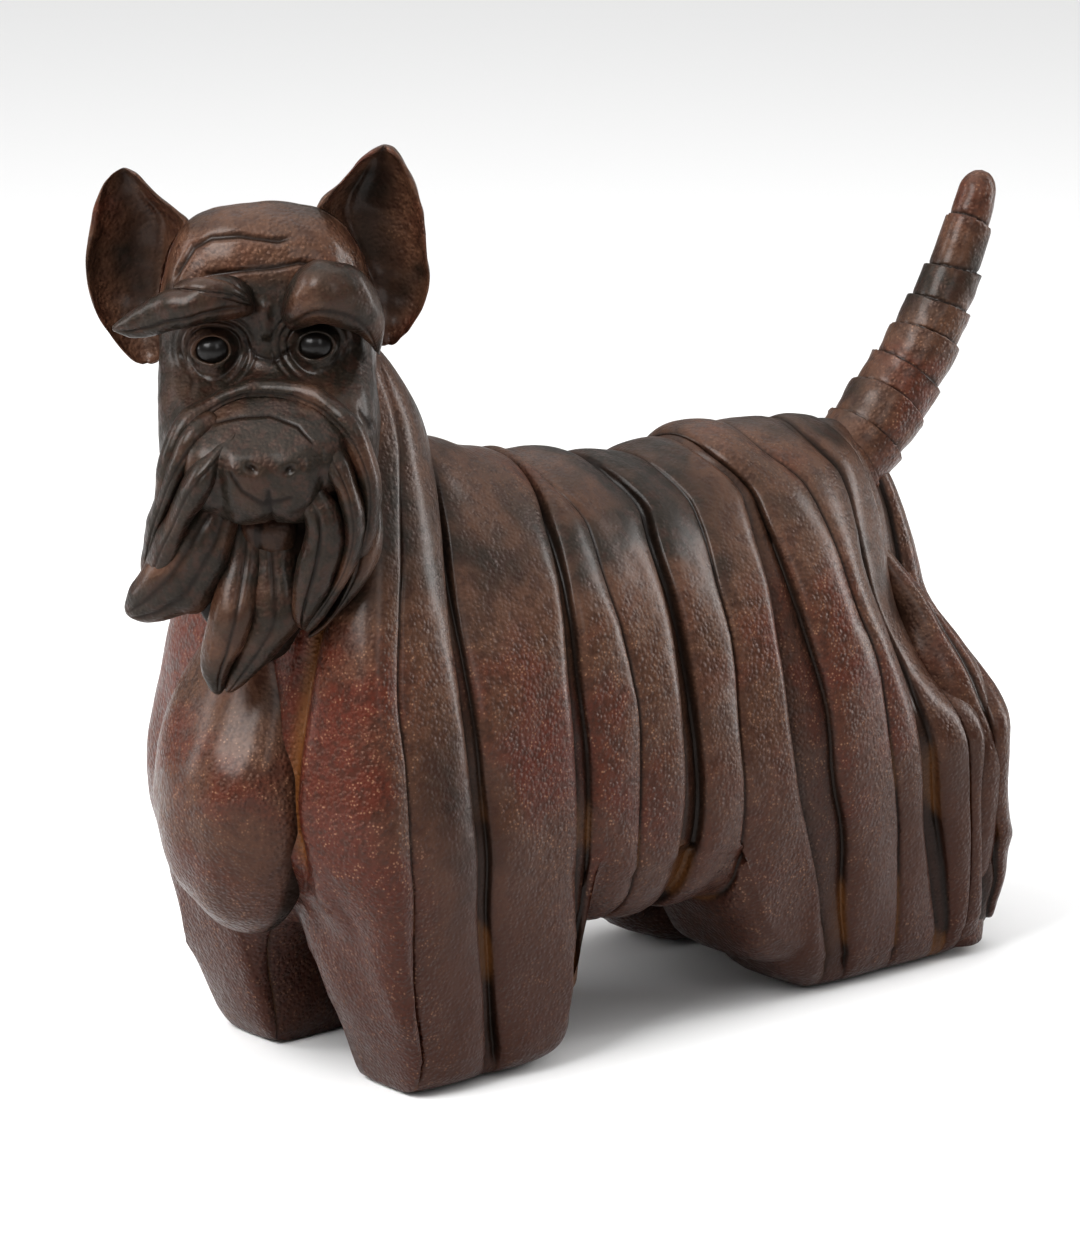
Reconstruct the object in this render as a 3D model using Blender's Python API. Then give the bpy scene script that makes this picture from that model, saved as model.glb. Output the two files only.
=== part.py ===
# A leather-clad terrier statuette that stands on its four feet and looks to its left.
# Metres, +Z up. The dog faces -Y, its left side is +X, and the ground under its middle is the origin.
# The trunk, neck and legs are one lofted skin: each ring runs over the back, down a flank and a leg,
# under the belly and up the other side. Rings sit in pairs at the edges of each sunken strip.
# Ears, brows, nose, beard and tail are closed forms of their own, joined to the skin by union.
import math

import bmesh
import bpy
import numpy as np

# Trunk
BACK_HEIGHT = 0.2115          # ground to the saddle of the back
FLANK_WIDTH = 0.146           # across the widest part of the flanks
SHOULDER_TURN = 0.062         # height of the rounding from back to flank
NECK_TURN = 0.045             # how much taller that rounding is on the neck
RUMP_TAPER = 0.62             # share of its width that the top of the rump loses
FLANK_LEVEL = 0.110           # height at which the seams' middle places are given
BELLY_CLEARANCE = 0.047       # ground to the belly
CHEST_CLEARANCE = 0.060       # ground to the chest's front edge
CHEST_FRONT = -0.174          # foremost point of the chest
RUMP_BACK = 0.168             # rearmost point of the rump
END_LEVEL = 0.125             # height towards which the chest and the rump round in
LEATHER = 0.0024              # depth of a sunken strip below its neighbours
CROWN = 0.0012                # how far a strip bulges between its edges
EDGE = 0.0009                 # width of the slope at a strip's edge

# Layout: places along the body, drawn for a body that reaches from LAYOUT_FRONT to LAYOUT_BACK and
# spread to fit between the chest's front and the rump's back
LAYOUT_FRONT = -0.174
LAYOUT_BACK = 0.168
CHEST_ROUND = -0.150          # where the chest begins to round in
RUMP_ROUND = 0.148            # where the rump begins to round in
FRONT_TOE = -0.151            # the legs' ends at flank level
FRONT_HEEL = -0.060
HIND_TOE = 0.038
CHEST_SLOPE = 0.010           # length over which the front toes rise to the chest's front edge
HEEL_SLOPE = 0.006            # length over which the front heels rise to the belly
TOE_SLOPE = 0.024             # length over which the belly falls to the hind toes
ELBOW_REACH = 0.022           # length and depth of the dip ahead of the front heels
ELBOW_DIP = 0.010
NECK_START = -0.060           # where the back begins to rise to the neck, and where it is full
NECK_FULL = -0.120
RUMP_START = 0.090            # where, and how high, the rump begins to narrow, and where it is full
RUMP_FULL = 0.150
FRONT_SHARE = -0.050          # ahead of this the gap between legs is the front one
FRONT_END = (-0.162, -0.154)  # the foremost ring's place on the back and at the ground
BACK_END = (0.154, 0.172)     # the rearmost ring's
SPINE = (                     # place along the layout and rise above the saddle
    (-0.171, 0.050), (-0.160, 0.062), (-0.149, 0.069), (-0.138, 0.058), (-0.127, 0.043), (-0.116, 0.030),
    (-0.102, 0.019), (-0.084, 0.013), (-0.062, 0.010), (-0.030, 0.006), (0.010, -0.001), (0.045, 0.001),
    (0.075, 0.005), (0.115, 0.003), (0.140, -0.004), (0.168, -0.026),
)
GIRTH = (                     # height and share of the flanks' width there
    (0.000, 0.86), (0.040, 0.94), (0.090, 1.00), (0.140, 0.91), (0.170, 0.80), (0.200, 0.71), (0.240, 0.56),
    (0.300, 0.50),
)

# Legs
FRONT_GAP = 0.046             # clear width between the front feet
HIND_GAP = 0.032              # clear width between the hind feet
GAP_TOP = 0.056               # height of the gap between two legs
SOLE_ROUND = 0.006            # rounding round each sole
SOLE_SLOPE = 0.0018           # height of the bevel outside the sole
ARCH_RISE = 0.001             # how far the belly's middle line stays below its sides

# Seams of the layout from chest to rump: place on the back, at flank level and at the ground, then
# the sunken width. A width of 0 is a plain butt seam, a crest between two strips.
SEAMS = (
    (-0.120, -0.1455, -0.1395, 0.0000),
    (-0.088, -0.1125, -0.1020, 0.0060),
    (-0.043, -0.0625, -0.0600, 0.0060),
    (-0.030, -0.0350, -0.0370, 0.0000),
    (0.004, -0.0090, -0.0160, 0.0085),
    (0.027, 0.0155, 0.0090, 0.0000),
    (0.050, 0.0495, 0.0675, 0.0180),
    (0.076, 0.0885, 0.1030, 0.0000),
    (0.103, 0.1090, 0.1210, 0.0080),
    (0.119, 0.1290, 0.1400, 0.0000),
    (0.132, 0.1435, 0.1520, 0.0085),
)

MERGE = 0.00005               # points closer than this, where forms meet, are one

# Head, in its own frame: r to the dog's left, f forward, u up, from the middle of the skull
HEAD_PLACE = (-0.003, CHEST_FRONT + 0.023, BACK_HEIGHT + 0.0685)
HEAD_TURN = 50.0              # degrees to the dog's left
HEAD_ROLL = 2.5               # degrees, left ear up
HEAD_HALF_WIDTH = 0.039
CROWN_RISE = 0.044            # head middle to the crown
JAW_DROP = 0.074              # head middle to the jaw
SKULL_FRONT = 0.024           # head middle to the forehead
SKULL_BACK = 0.044            # head middle to the back of the skull
MUZZLE_REACH = 0.036          # forehead to the nose
EYE_RADIUS = 0.0072
EYE_SPREAD = 0.0183           # head middle line to an eye's middle
EYE_RISE = -0.0035
EYE_FORWARD = SKULL_FRONT - 0.0035
EYE_GAP = 0.0003              # clearance round a glass eye in its socket
LID_WIDTH = 0.0026
LID_STAND = 0.0052            # how far a lid's mound reaches ahead of the eye's middle
EAR_PLACE = -0.004            # forward place of an ear's rim
EAR_CUP = 0.010               # depth of an ear's hollow at its widest row
EAR_SPAN = 0.034
EAR_WALL = 0.0055
RIGHT_EAR_TIP = 0.0575        # head middle to each ear's tip
LEFT_EAR_TIP = 0.0610

# An ear's rows from foot to tip: height, inner edge and outer edge, from the head's middle
EAR_ROWS = (
    (-0.0140, 0.0410, 0.0460),
    (-0.0040, 0.0360, 0.0540),
    (0.0080, 0.0320, 0.0590),
    (0.0190, 0.0280, 0.0614),
    (0.0290, 0.0260, 0.0610),
    (0.0380, 0.0250, 0.0580),
    (0.0460, 0.0370, 0.0550),
    (0.0540, 0.0425, 0.0510),
    (0.0575, 0.0455, 0.0485),
)

# Middle lines in the head's frame, each from its root to its tip
RIGHT_BROW = ((-0.003, 0.022, 0.016), (-0.018, 0.030, 0.016), (-0.033, 0.029, 0.011), (-0.053, 0.025, 0.001))
LEFT_BROW = ((0.005, 0.020, 0.013), (0.018, 0.027, 0.019), (0.031, 0.027, 0.016), (0.042, 0.020, 0.001))

# The nose and the beard: to the left, behind the muzzle's front and down as a share of the jaw's drop
NOSE = ((0.000, 0.008, 0.405), (0.000, 0.002, 0.486), (0.000, 0.002, 0.595), (0.000, 0.006, 0.689))
BEARD_WEDGE = ((0.000, 0.024, 0.649), (0.000, 0.022, 0.973), (-0.004, 0.024, 1.216),
               (-0.010, 0.026, 1.432), (-0.014, 0.026, 1.622))
BEARD_STRANDS = {
    "strand_outer_right": (((-0.013, 0.005, 0.297), (-0.026, 0.010, 0.514), (-0.038, 0.022, 0.838),
                            (-0.043, 0.030, 1.135)), (0.003, 0.0085, 0.0080, 0.0015)),
    "strand_inner_right": (((-0.009, 0.002, 0.405), (-0.021, 0.005, 0.662), (-0.032, 0.014, 0.973),
                            (-0.040, 0.023, 1.257)), (0.003, 0.0080, 0.0075, 0.0015)),
    "tuft_right": (((-0.012, 0.008, 0.622), (-0.022, 0.012, 0.946), (-0.035, 0.018, 1.203),
                    (-0.050, 0.025, 1.365)), (0.004, 0.0095, 0.0095, 0.0020)),
    "tuft_middle": (((-0.008, 0.014, 0.946), (-0.012, 0.014, 1.189), (-0.014, 0.016, 1.432),
                     (-0.016, 0.020, 1.716)), (0.004, 0.0080, 0.0085, 0.0030)),
    "tuft_left": (((0.008, 0.014, 0.892), (0.007, 0.014, 1.149), (0.000, 0.016, 1.392),
                   (-0.012, 0.020, 1.662)), (0.004, 0.0100, 0.0095, 0.0020)),
    "strand_inner_left": (((0.011, 0.004, 0.486), (0.023, 0.006, 0.784), (0.024, 0.010, 1.068),
                           (0.015, 0.014, 1.351)), (0.003, 0.0080, 0.0080, 0.0018)),
    "strand_outer_left": (((0.017, 0.007, 0.324), (0.033, 0.015, 0.608), (0.037, 0.022, 0.946),
                           (0.022, 0.020, 1.338)), (0.003, 0.0080, 0.0080, 0.0018)),
}

# Chest
LOBE_TIP = 0.058              # height of the chest lobe's point
LOBE_TOP = 0.182
LOBE_HALF_WIDTH = 0.040
LOBE_ROOT = 0.014             # chest's front to the lobe's middle inside it
LOBE_DEPTH = 0.030            # how far the lobe stands ahead of its root

# Haunches: middle line of the left one from its top to the foot, inward from the flank's width,
# ahead of the rump's back and up from the ground
HAUNCH_LINE = ((0.023, 0.040, 0.132), (0.020, 0.027, 0.100), (0.021, 0.022, 0.060), (0.027, 0.022, 0.004))
HAUNCH_HALVES = (0.004, 0.0170, 0.0185, 0.0130)
HAUNCH_THICKNESS = (0.004, 0.0150, 0.0150, 0.0130)

# Tail
TAIL_RINGS = 10
TAIL_BASE_RADIUS = 0.0170
TAIL_TIP_RADIUS = 0.0060
TAIL_STEP = 0.0012            # step from one wrap ring to the next
# The tail's middle line, behind the rump's back and above the saddle
TAIL_LINE = ((0.0, -0.0500, -0.0255), (0.0, -0.0290, -0.0135), (0.0, -0.0085, 0.0070), (0.0, 0.0085, 0.0285),
             (0.0, 0.0220, 0.0525), (0.0, 0.0350, 0.0870))


def smooth(edge0, edge1, x):
    t = np.clip((x - edge0) / (edge1 - edge0), 0.0, 1.0)
    return t * t * (3.0 - 2.0 * t)


def spline(points, t):
    """Catmull-Rom curve through the rows of points, t from 0 to 1."""
    p = np.asarray(points, float)
    p = np.vstack([2 * p[0] - p[1], p, 2 * p[-1] - p[-2]])
    spans = len(p) - 3
    x = np.clip(np.asarray(t, float) * spans, 0.0, spans - 1e-9)
    i = x.astype(int)
    x = (x - i)[:, None]
    a, b, c, d = p[i], p[i + 1], p[i + 2], p[i + 3]
    return 0.5 * (2 * b + (c - a) * x + (2 * a - 5 * b + 4 * c - d) * x**2 + (3 * b - a - 3 * c + d) * x**3)


def grid_mesh(rings, poles):
    """Vertices and faces of a closed skin over rings (rows of points), with a pole at each end."""
    rows, around = rings.shape[:2]
    verts = np.vstack([rings.reshape(-1, 3), poles])
    first, last = rows * around, rows * around + 1
    faces = []
    for j in range(around):
        k = (j + 1) % around
        faces.append((first, j, k))
        for i in range(rows - 1):
            faces.append((i * around + j, (i + 1) * around + j, (i + 1) * around + k, i * around + k))
        faces.append((last, (rows - 1) * around + k, (rows - 1) * around + j))
    return verts, faces


def solid(name, rings, poles):
    verts, faces = grid_mesh(np.asarray(rings), np.asarray(poles))
    mesh = bpy.data.meshes.new(name)
    mesh.from_pydata(verts.tolist(), [], faces)
    shape = bmesh.new()
    shape.from_mesh(mesh)
    shape.normal_update()
    bmesh.ops.recalc_face_normals(shape, faces=shape.faces)
    bmesh.ops.triangulate(shape, faces=shape.faces)
    shape.to_mesh(mesh)
    shape.free()
    item = bpy.data.objects.new(name, mesh)
    bpy.context.scene.collection.objects.link(item)
    return item


# Trunk

def spine_height(s):
    """The neck's back, the saddle, the loin and the top of the rump."""
    at, rise = np.array(SPINE).T
    return BACK_HEIGHT + np.interp(s, at, rise)


def flank_half(z):
    """Half width of the trunk at a height: widest low on the flank, narrower at neck and foot."""
    level, share = np.array(GIRTH).T
    return 0.5 * FLANK_WIDTH * np.interp(z, level, share)


def sole_height(s):
    """Lowest point of a ring: the ground under a leg, the belly between them, up at both ends."""
    lift = smooth(FRONT_TOE, FRONT_TOE - CHEST_SLOPE, s) * CHEST_CLEARANCE
    toe = np.interp((HIND_TOE - s) / TOE_SLOPE, (0.0, 0.25, 0.5, 0.75, 1.0), (0.0, 0.13, 0.38, 0.77, 1.0))
    past = s - FRONT_HEEL
    heel = smooth(-HEEL_SLOPE / 3.0, HEEL_SLOPE, past)
    dip = ELBOW_DIP * smooth(ELBOW_REACH, 0.0, past) * smooth(0.0, HEEL_SLOPE, past)
    return lift + heel * toe * BELLY_CLEARANCE + dip


def end_scale(s):
    """Rings shrink to a point on a rounded law at the chest and the rump."""
    front = np.clip((CHEST_ROUND - s) / (CHEST_ROUND - LAYOUT_FRONT), 0.0, 1.0)
    rear = np.clip((s - RUMP_ROUND) / (LAYOUT_BACK - RUMP_ROUND), 0.0, 1.0)
    return np.sqrt(np.maximum(1.0 - front**2.4, 0.0)) * np.sqrt(np.maximum(1.0 - rear**2.4, 0.0))


def lean(s, z):
    """Place along the body of the point at height z on ring s, from the seams' three places."""
    first = (FRONT_END[0], LAYOUT_FRONT, FRONT_END[1])
    last = (BACK_END[0], LAYOUT_BACK, BACK_END[1])
    table = np.vstack([first, np.array(SEAMS)[:, :3], last])
    back, middle, ground = (np.interp(s, table[:, 1], table[:, k]) for k in range(3))
    h = np.clip(z, 0.0, 1.14 * BACK_HEIGHT)
    a, b = FLANK_LEVEL, BACK_HEIGHT
    low = (h - a) * (h - b) / (a * b)
    mid = h * (b - h) / (a * (b - a))
    top = h * (h - a) / (b * (b - a))
    place = ground * low + middle * mid + back * top
    stretch = (RUMP_BACK - CHEST_FRONT) / (LAYOUT_BACK - LAYOUT_FRONT)
    return CHEST_FRONT + (place - LAYOUT_FRONT) * stretch


def half_ring(s, sink):
    """Height and half width of the points of one half ring, from the spine to under the belly."""
    top = spine_height(s) - sink
    shoulder = top - SHOULDER_TURN - NECK_TURN * smooth(NECK_START, NECK_FULL, s)
    turn = np.linspace(math.pi / 2, 0.0, 6)
    z = shoulder + (top - shoulder) * np.sin(turn)
    x = (flank_half(z) - sink) * np.cos(turn)
    low = sole_height(s)
    down = np.linspace(shoulder, low + SOLE_ROUND, 7)[1:]
    z = np.append(z, down)
    x = np.append(x, flank_half(down) - sink)
    foot = flank_half(low) - sink
    front_part = smooth(0.0, FRONT_SHARE, s)
    gap = 0.5 * (FRONT_GAP * front_part + HIND_GAP * (1.0 - front_part))
    arch = max(GAP_TOP, low - ARCH_RISE)
    z = np.append(z, [low + SOLE_SLOPE, low, low, low + 0.5 * (arch - low), arch])
    x = np.append(x, [foot - 0.25 * SOLE_ROUND, foot - SOLE_ROUND, gap + SOLE_SLOPE, 0.72 * gap, 0.0])
    return x, z


def ring(s, sink=0.0):
    x, z = half_ring(s, sink)
    x = np.append(x, -x[-2:0:-1])
    z = np.append(z, z[-2:0:-1])
    scale = float(end_scale(np.array(s)))
    narrowing = smooth(RUMP_START, RUMP_FULL, s) * smooth(RUMP_START, RUMP_FULL, z)
    x = x * scale * (1.0 - RUMP_TAPER * narrowing)
    z = END_LEVEL + (z - END_LEVEL) * scale
    return np.stack([x, lean(np.full_like(z, s), z), z], axis=1)


def ring_places():
    """Each ring's place and depth: pairs at both edges of every sunken strip, crests between."""
    places = []
    for row in SEAMS:
        middle, half = row[1], 0.5 * row[3]
        if half:
            places += [(middle - half - EDGE, 0.0), (middle - half, LEATHER)]
            places += [(middle + half, LEATHER), (middle + half + EDGE, 0.0)]
        else:
            places.append((middle, 0.0))
    ends = [row[1] for row in SEAMS]
    for a, b in zip(ends[:-1], ends[1:]):
        places.append((0.5 * (a + b), -CROWN))
    places += [(FRONT_TOE - CHEST_SLOPE * k, 0.0) for k in (0.5, 1.0)]
    places += [(HIND_TOE - TOE_SLOPE * k, 0.0) for k in (0.0, 0.25, 1.0)]
    places.append((FRONT_HEEL + 0.67 * HEEL_SLOPE, 0.0))
    reach_front, reach_back = CHEST_ROUND - LAYOUT_FRONT, LAYOUT_BACK - RUMP_ROUND
    places += [(CHEST_ROUND - reach_front * k, 0.0) for k in (0.0, 0.62, 0.82, 0.94, 0.99)]
    places += [(RUMP_ROUND + reach_back * k, 0.0) for k in (0.1, 0.35, 0.62, 0.82, 0.94, 0.99)]
    return sorted(places)


def trunk():
    rings = [ring(s, sink) for s, sink in ring_places()]
    poles = [(0.0, float(lean(s, END_LEVEL)), END_LEVEL) for s in (LAYOUT_FRONT, LAYOUT_BACK)]
    return solid("dog_figure", rings, poles)


# Forms on the trunk and head

def leaf(name, path, halves, thickness, facing, rows=7, around=8):
    """A tapered strand: oval rings carried along a curve, wide across and thin towards facing."""
    t = np.linspace(0.0, 1.0, rows + 2)
    line = spline(path, t)
    wide = np.interp(t, np.linspace(0, 1, len(halves)), halves)
    thin = np.interp(t, np.linspace(0, 1, len(thickness)), thickness)
    along = np.gradient(line, axis=0)
    along /= np.linalg.norm(along, axis=1)[:, None]
    side = np.cross(along, np.asarray(facing, float))
    side /= np.linalg.norm(side, axis=1)[:, None]
    out = np.cross(side, along)
    turn = np.linspace(0.0, 2.0 * math.pi, around, endpoint=False)
    rings = (line[1:-1, None] + side[1:-1, None] * wide[1:-1, None, None] * np.cos(turn)[None, :, None]
             + out[1:-1, None] * thin[1:-1, None, None] * np.sin(turn)[None, :, None])
    return solid(name, rings, (line[0], line[-1]))


def globe(name, middle, radii, rows=8, around=14):
    """An ellipsoid of rings between two poles."""
    lift = np.linspace(-math.pi / 2, math.pi / 2, rows + 2)[1:-1]
    turn = np.linspace(0.0, 2.0 * math.pi, around, endpoint=False)
    flat = np.cos(lift)[:, None]
    unit = np.stack([flat * np.cos(turn), flat * np.sin(turn), np.sin(lift)[:, None] + 0.0 * turn], axis=2)
    tall = np.array([[0.0, 0.0, -1.0], [0.0, 0.0, 1.0]])
    return solid(name, unit * radii + np.asarray(middle), tall * radii + np.asarray(middle))


def chest_lobe():
    """The shield-shaped swelling between the front legs: rings up the chest, pointed below."""
    z = LOBE_TIP + (LOBE_TOP - LOBE_TIP) * np.array([0.05, 0.14, 0.27, 0.42, 0.58, 0.74, 0.88, 0.97])
    t = (z - LOBE_TIP) / (LOBE_TOP - LOBE_TIP)
    swell = np.sin(math.pi * t**0.85) ** 0.65
    turn = np.linspace(0.0, 2.0 * math.pi, 14, endpoint=False)
    x = LOBE_HALF_WIDTH * swell[:, None] * np.cos(turn)
    root = CHEST_FRONT + LOBE_ROOT
    y = root - LOBE_DEPTH * swell[:, None] * np.maximum(np.sin(turn), -0.4)
    rings = np.stack([x, y, z[:, None] + 0.0 * x], axis=2)
    return solid("chest_lobe", rings, ((0.0, root, LOBE_TIP), (0.0, root, LOBE_TOP)))


def tail():
    """Wrap rings stepped along a curve, each a little narrower than the one below it."""
    steps = np.linspace(0.0, 1.0, TAIL_RINGS + 1)
    t = np.sort(np.concatenate([steps[:-1], steps[1:] - 0.012]))
    line = spline(TAIL_LINE, np.append(t, 1.0)) + (0.0, RUMP_BACK, BACK_HEIGHT)
    radius = TAIL_BASE_RADIUS + (TAIL_TIP_RADIUS - TAIL_BASE_RADIUS) * t**2
    radius[0::2] -= 0.5 * TAIL_STEP
    radius[1::2] += 0.5 * TAIL_STEP
    along = np.gradient(line, axis=0)[:-1]
    along /= np.linalg.norm(along, axis=1)[:, None]
    side = np.cross(along, (1.0, 0.0, 0.0))
    turn = np.linspace(0.0, 2.0 * math.pi, 14, endpoint=False)
    across = np.array([1.0, 0.0, 0.0])
    rings = (line[:-1, None] + radius[:, None, None] * (across * np.cos(turn)[None, :, None]
             + side[:, None] * np.sin(turn)[None, :, None]))
    return solid("tail", rings, (line[0] - 0.003 * along[0], line[-1] + 0.6 * TAIL_TIP_RADIUS * along[-1]))


def haunches():
    """The pads behind the hind legs, which stand a little proud of the rump."""
    pads = []
    for side, name in ((-1.0, "right_haunch"), (1.0, "left_haunch")):
        line = [(side * (0.5 * FLANK_WIDTH - inward), RUMP_BACK - ahead, up)
                for inward, ahead, up in HAUNCH_LINE]
        pads.append(leaf(name, line, HAUNCH_HALVES, HAUNCH_THICKNESS, (0.0, 1.0, 0.0), rows=7, around=10))
    return pads


# Head, made in its own frame and turned to its place by seat()

def seat(item):
    """Moves a shape from the head's frame (r, f, u) to the world."""
    turn, roll = math.radians(HEAD_TURN), math.radians(HEAD_ROLL)
    left = np.array([math.cos(turn), math.sin(turn), 0.0])
    ahead = np.array([math.sin(turn), -math.cos(turn), 0.0])
    rise = np.array([0.0, 0.0, 1.0])
    frame = np.stack([left * math.cos(roll) + rise * math.sin(roll), ahead,
                      rise * math.cos(roll) - left * math.sin(roll)])
    shape = bmesh.new()
    shape.from_mesh(item.data)
    for corner in shape.verts:
        corner.co = np.array(HEAD_PLACE) + np.array(corner.co) @ frame
    shape.normal_update()
    bmesh.ops.recalc_face_normals(shape, faces=shape.faces)
    shape.to_mesh(item.data)
    shape.free()
    return item


def face_front(r, u, share):
    """Forward place of the face: a flat forehead, with the muzzle's block standing out of it."""
    skull = SKULL_FRONT * np.sqrt(np.maximum(1.0 - share**5, 0.0))
    level = np.array([-1.04, -0.95, -0.82, -0.66, -0.50, -0.42, -0.30, -0.19, -0.12]) * JAW_DROP
    stand = np.array([0.00, 0.40, 0.78, 0.97, 1.00, 0.90, 0.58, 0.22, 0.00]) * MUZZLE_REACH
    falloff = np.sqrt(np.maximum(1.0 - (np.abs(r) / (1.08 * HEAD_HALF_WIDTH)) ** 3.4, 0.0))
    return skull + np.interp(u, level, stand) * falloff


def skull():
    """Head block: rings from the nose out to the outline, then back round to the skull's rear."""
    turn = np.linspace(0.0, 2.0 * math.pi, 28, endpoint=False)
    middle = 0.5 * (CROWN_RISE - JAW_DROP)
    half = 0.5 * (CROWN_RISE + JAW_DROP)
    power = 2.0 / 3.3
    unit_r = np.sign(np.cos(turn)) * np.abs(np.cos(turn)) ** power
    unit_u = np.sign(np.sin(turn)) * np.abs(np.sin(turn)) ** power
    rings = []
    for share in (0.2, 0.4, 0.56, 0.70, 0.80, 0.88, 0.94, 0.98, 1.0):
        r, u = HEAD_HALF_WIDTH * unit_r * share, middle + half * unit_u * share
        rings.append(np.stack([r, face_front(r, u, share), u], axis=1))
    for share in (0.96, 0.82, 0.58, 0.28):
        r, u = HEAD_HALF_WIDTH * unit_r * share, middle + half * unit_u * share
        depth = SKULL_BACK * math.sqrt(1.0 - share**2.2) * (0.55 + 0.45 * smooth(-0.06, 0.0, u))
        rings.append(np.stack([r, -depth, u], axis=1))
    nose = float(face_front(np.array(0.0), np.array(middle), 0.0))
    back = -SKULL_BACK * (0.55 + 0.45 * float(smooth(-0.06, 0.0, middle)))
    return seat(solid("skull", rings, ((0.0, nose, middle), (0.0, back, middle))))


def ear(name, side, tip):
    """A cupped ear: rows from its foot to its tip, hollow in front and round behind."""
    rows = [list(row) for row in EAR_ROWS]
    rise = tip - rows[-1][0]
    across = np.linspace(-1.0, 1.0, 9)
    rings = []
    for k, (u, inner, outer) in enumerate(rows):
        u = u + rise * (k / (len(rows) - 1)) ** 2
        span = outer - inner
        r = 0.5 * (inner + outer) + 0.5 * span * across
        cup = EAR_CUP * (span / EAR_SPAN) * (1.0 - across**2)
        front = EAR_PLACE - cup + 0.004 * (across > 0.9)
        behind = front - EAR_WALL * (0.5 + 0.5 * np.sqrt(1.0 - across**2))
        loop_r = np.concatenate([r, r[::-1]])
        loop_f = np.concatenate([front, behind[::-1]])
        rings.append(np.stack([side * loop_r, loop_f, np.full(18, u)], axis=1))
    foot, top = rings[0].mean(axis=0), rings[-1].mean(axis=0)
    return seat(solid(name, rings, (foot - (0.0, 0.0, 0.0015), top + (0.0, 0.0, 0.0015))))


def strand(name, path, halves, thickness, facing=(0.0, 1.0, 0.0), rows=7, around=8):
    return seat(leaf(name, path, halves, thickness, facing, rows, around))


def hung(path):
    """A path given behind the muzzle's front and down the jaw, in the head's frame."""
    front = SKULL_FRONT + MUZZLE_REACH
    return [(r, front - behind, -down * JAW_DROP) for r, behind, down in path]


def beard():
    """The wedge behind the beard, with the strands that hang over it."""
    pieces = [strand("beard_wedge", hung(BEARD_WEDGE), (0.018, 0.028, 0.024, 0.015, 0.003),
                     (0.014, 0.017, 0.012, 0.008, 0.002), rows=8, around=12)]
    for name, (path, halves) in BEARD_STRANDS.items():
        thickness = tuple(0.62 * half for half in halves)
        pieces.append(strand(name, hung(path), halves, thickness, (0.0, 1.0, 0.15)))
    return pieces


def brows():
    right = strand("right_brow", RIGHT_BROW, (0.005, 0.0085, 0.0075, 0.0055, 0.0012),
                   (0.004, 0.0075, 0.0070, 0.0045, 0.0012), rows=9, around=12)
    left = strand("left_brow", LEFT_BROW, (0.004, 0.0085, 0.0108, 0.0085, 0.0025),
                  (0.004, 0.0080, 0.0085, 0.0065, 0.0020), rows=9, around=12)
    return [right, left]


def eye_parts(side, name):
    """The lid's mound, the socket's cutter and the glass eye, all round one middle."""
    middle = (side * EYE_SPREAD, EYE_FORWARD, EYE_RISE)
    lid = EYE_RADIUS + LID_WIDTH
    mound = seat(globe(name + "_lid", middle, np.array([lid, LID_STAND, lid])))
    room = EYE_RADIUS + EYE_GAP
    socket = seat(globe(name + "_socket", middle, np.array([room, room, room])))
    eye = seat(globe(name, middle, np.array([EYE_RADIUS, EYE_RADIUS, EYE_RADIUS])))
    return mound, socket, eye


def join(base, item, operation="UNION"):
    """Adds or cuts one shape, which then stays as a hidden helper."""
    cut = base.modifiers.new(item.name, "BOOLEAN")
    cut.operation = operation
    cut.solver = "EXACT"
    cut.object = item
    item.hide_render = True
    item.display_type = "WIRE"


def material(item, name, colour, roughness):
    stuff = bpy.data.materials.new(name)
    stuff.use_nodes = True
    shader = stuff.node_tree.nodes["Principled BSDF"]
    shader.inputs["Base Color"].default_value = (*colour, 1.0)
    shader.inputs["Roughness"].default_value = roughness
    shader.inputs["Metallic"].default_value = 0.0
    item.data.materials.append(stuff)
    item.data.shade_smooth()


def build_scene():
    for item in list(bpy.data.objects):
        bpy.data.objects.remove(item, do_unlink=True)
    figure = trunk()
    material(figure, "brown_leather", (0.075, 0.035, 0.025), 0.45)
    forms = [chest_lobe(), tail(), skull()] + haunches()
    forms += [ear("right_ear", -1.0, RIGHT_EAR_TIP), ear("left_ear", 1.0, LEFT_EAR_TIP)]
    forms += brows() + beard()
    forms.append(strand("nose", hung(NOSE), (0.008, 0.0115, 0.0105, 0.004), (0.005, 0.0075, 0.0070, 0.003)))
    sockets = []
    for side, name in ((-1.0, "right_eye"), (1.0, "left_eye")):
        mound, socket, eye = eye_parts(side, name)
        material(eye, name + "_glass", (0.010, 0.007, 0.006), 0.05)
        forms.append(mound)
        sockets.append(socket)
    for item in forms:
        join(figure, item)
    for item in sockets:
        join(figure, item, "DIFFERENCE")
    weld = figure.modifiers.new("merge", "WELD")
    weld.merge_threshold = MERGE


build_scene()
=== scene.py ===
import math

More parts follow.
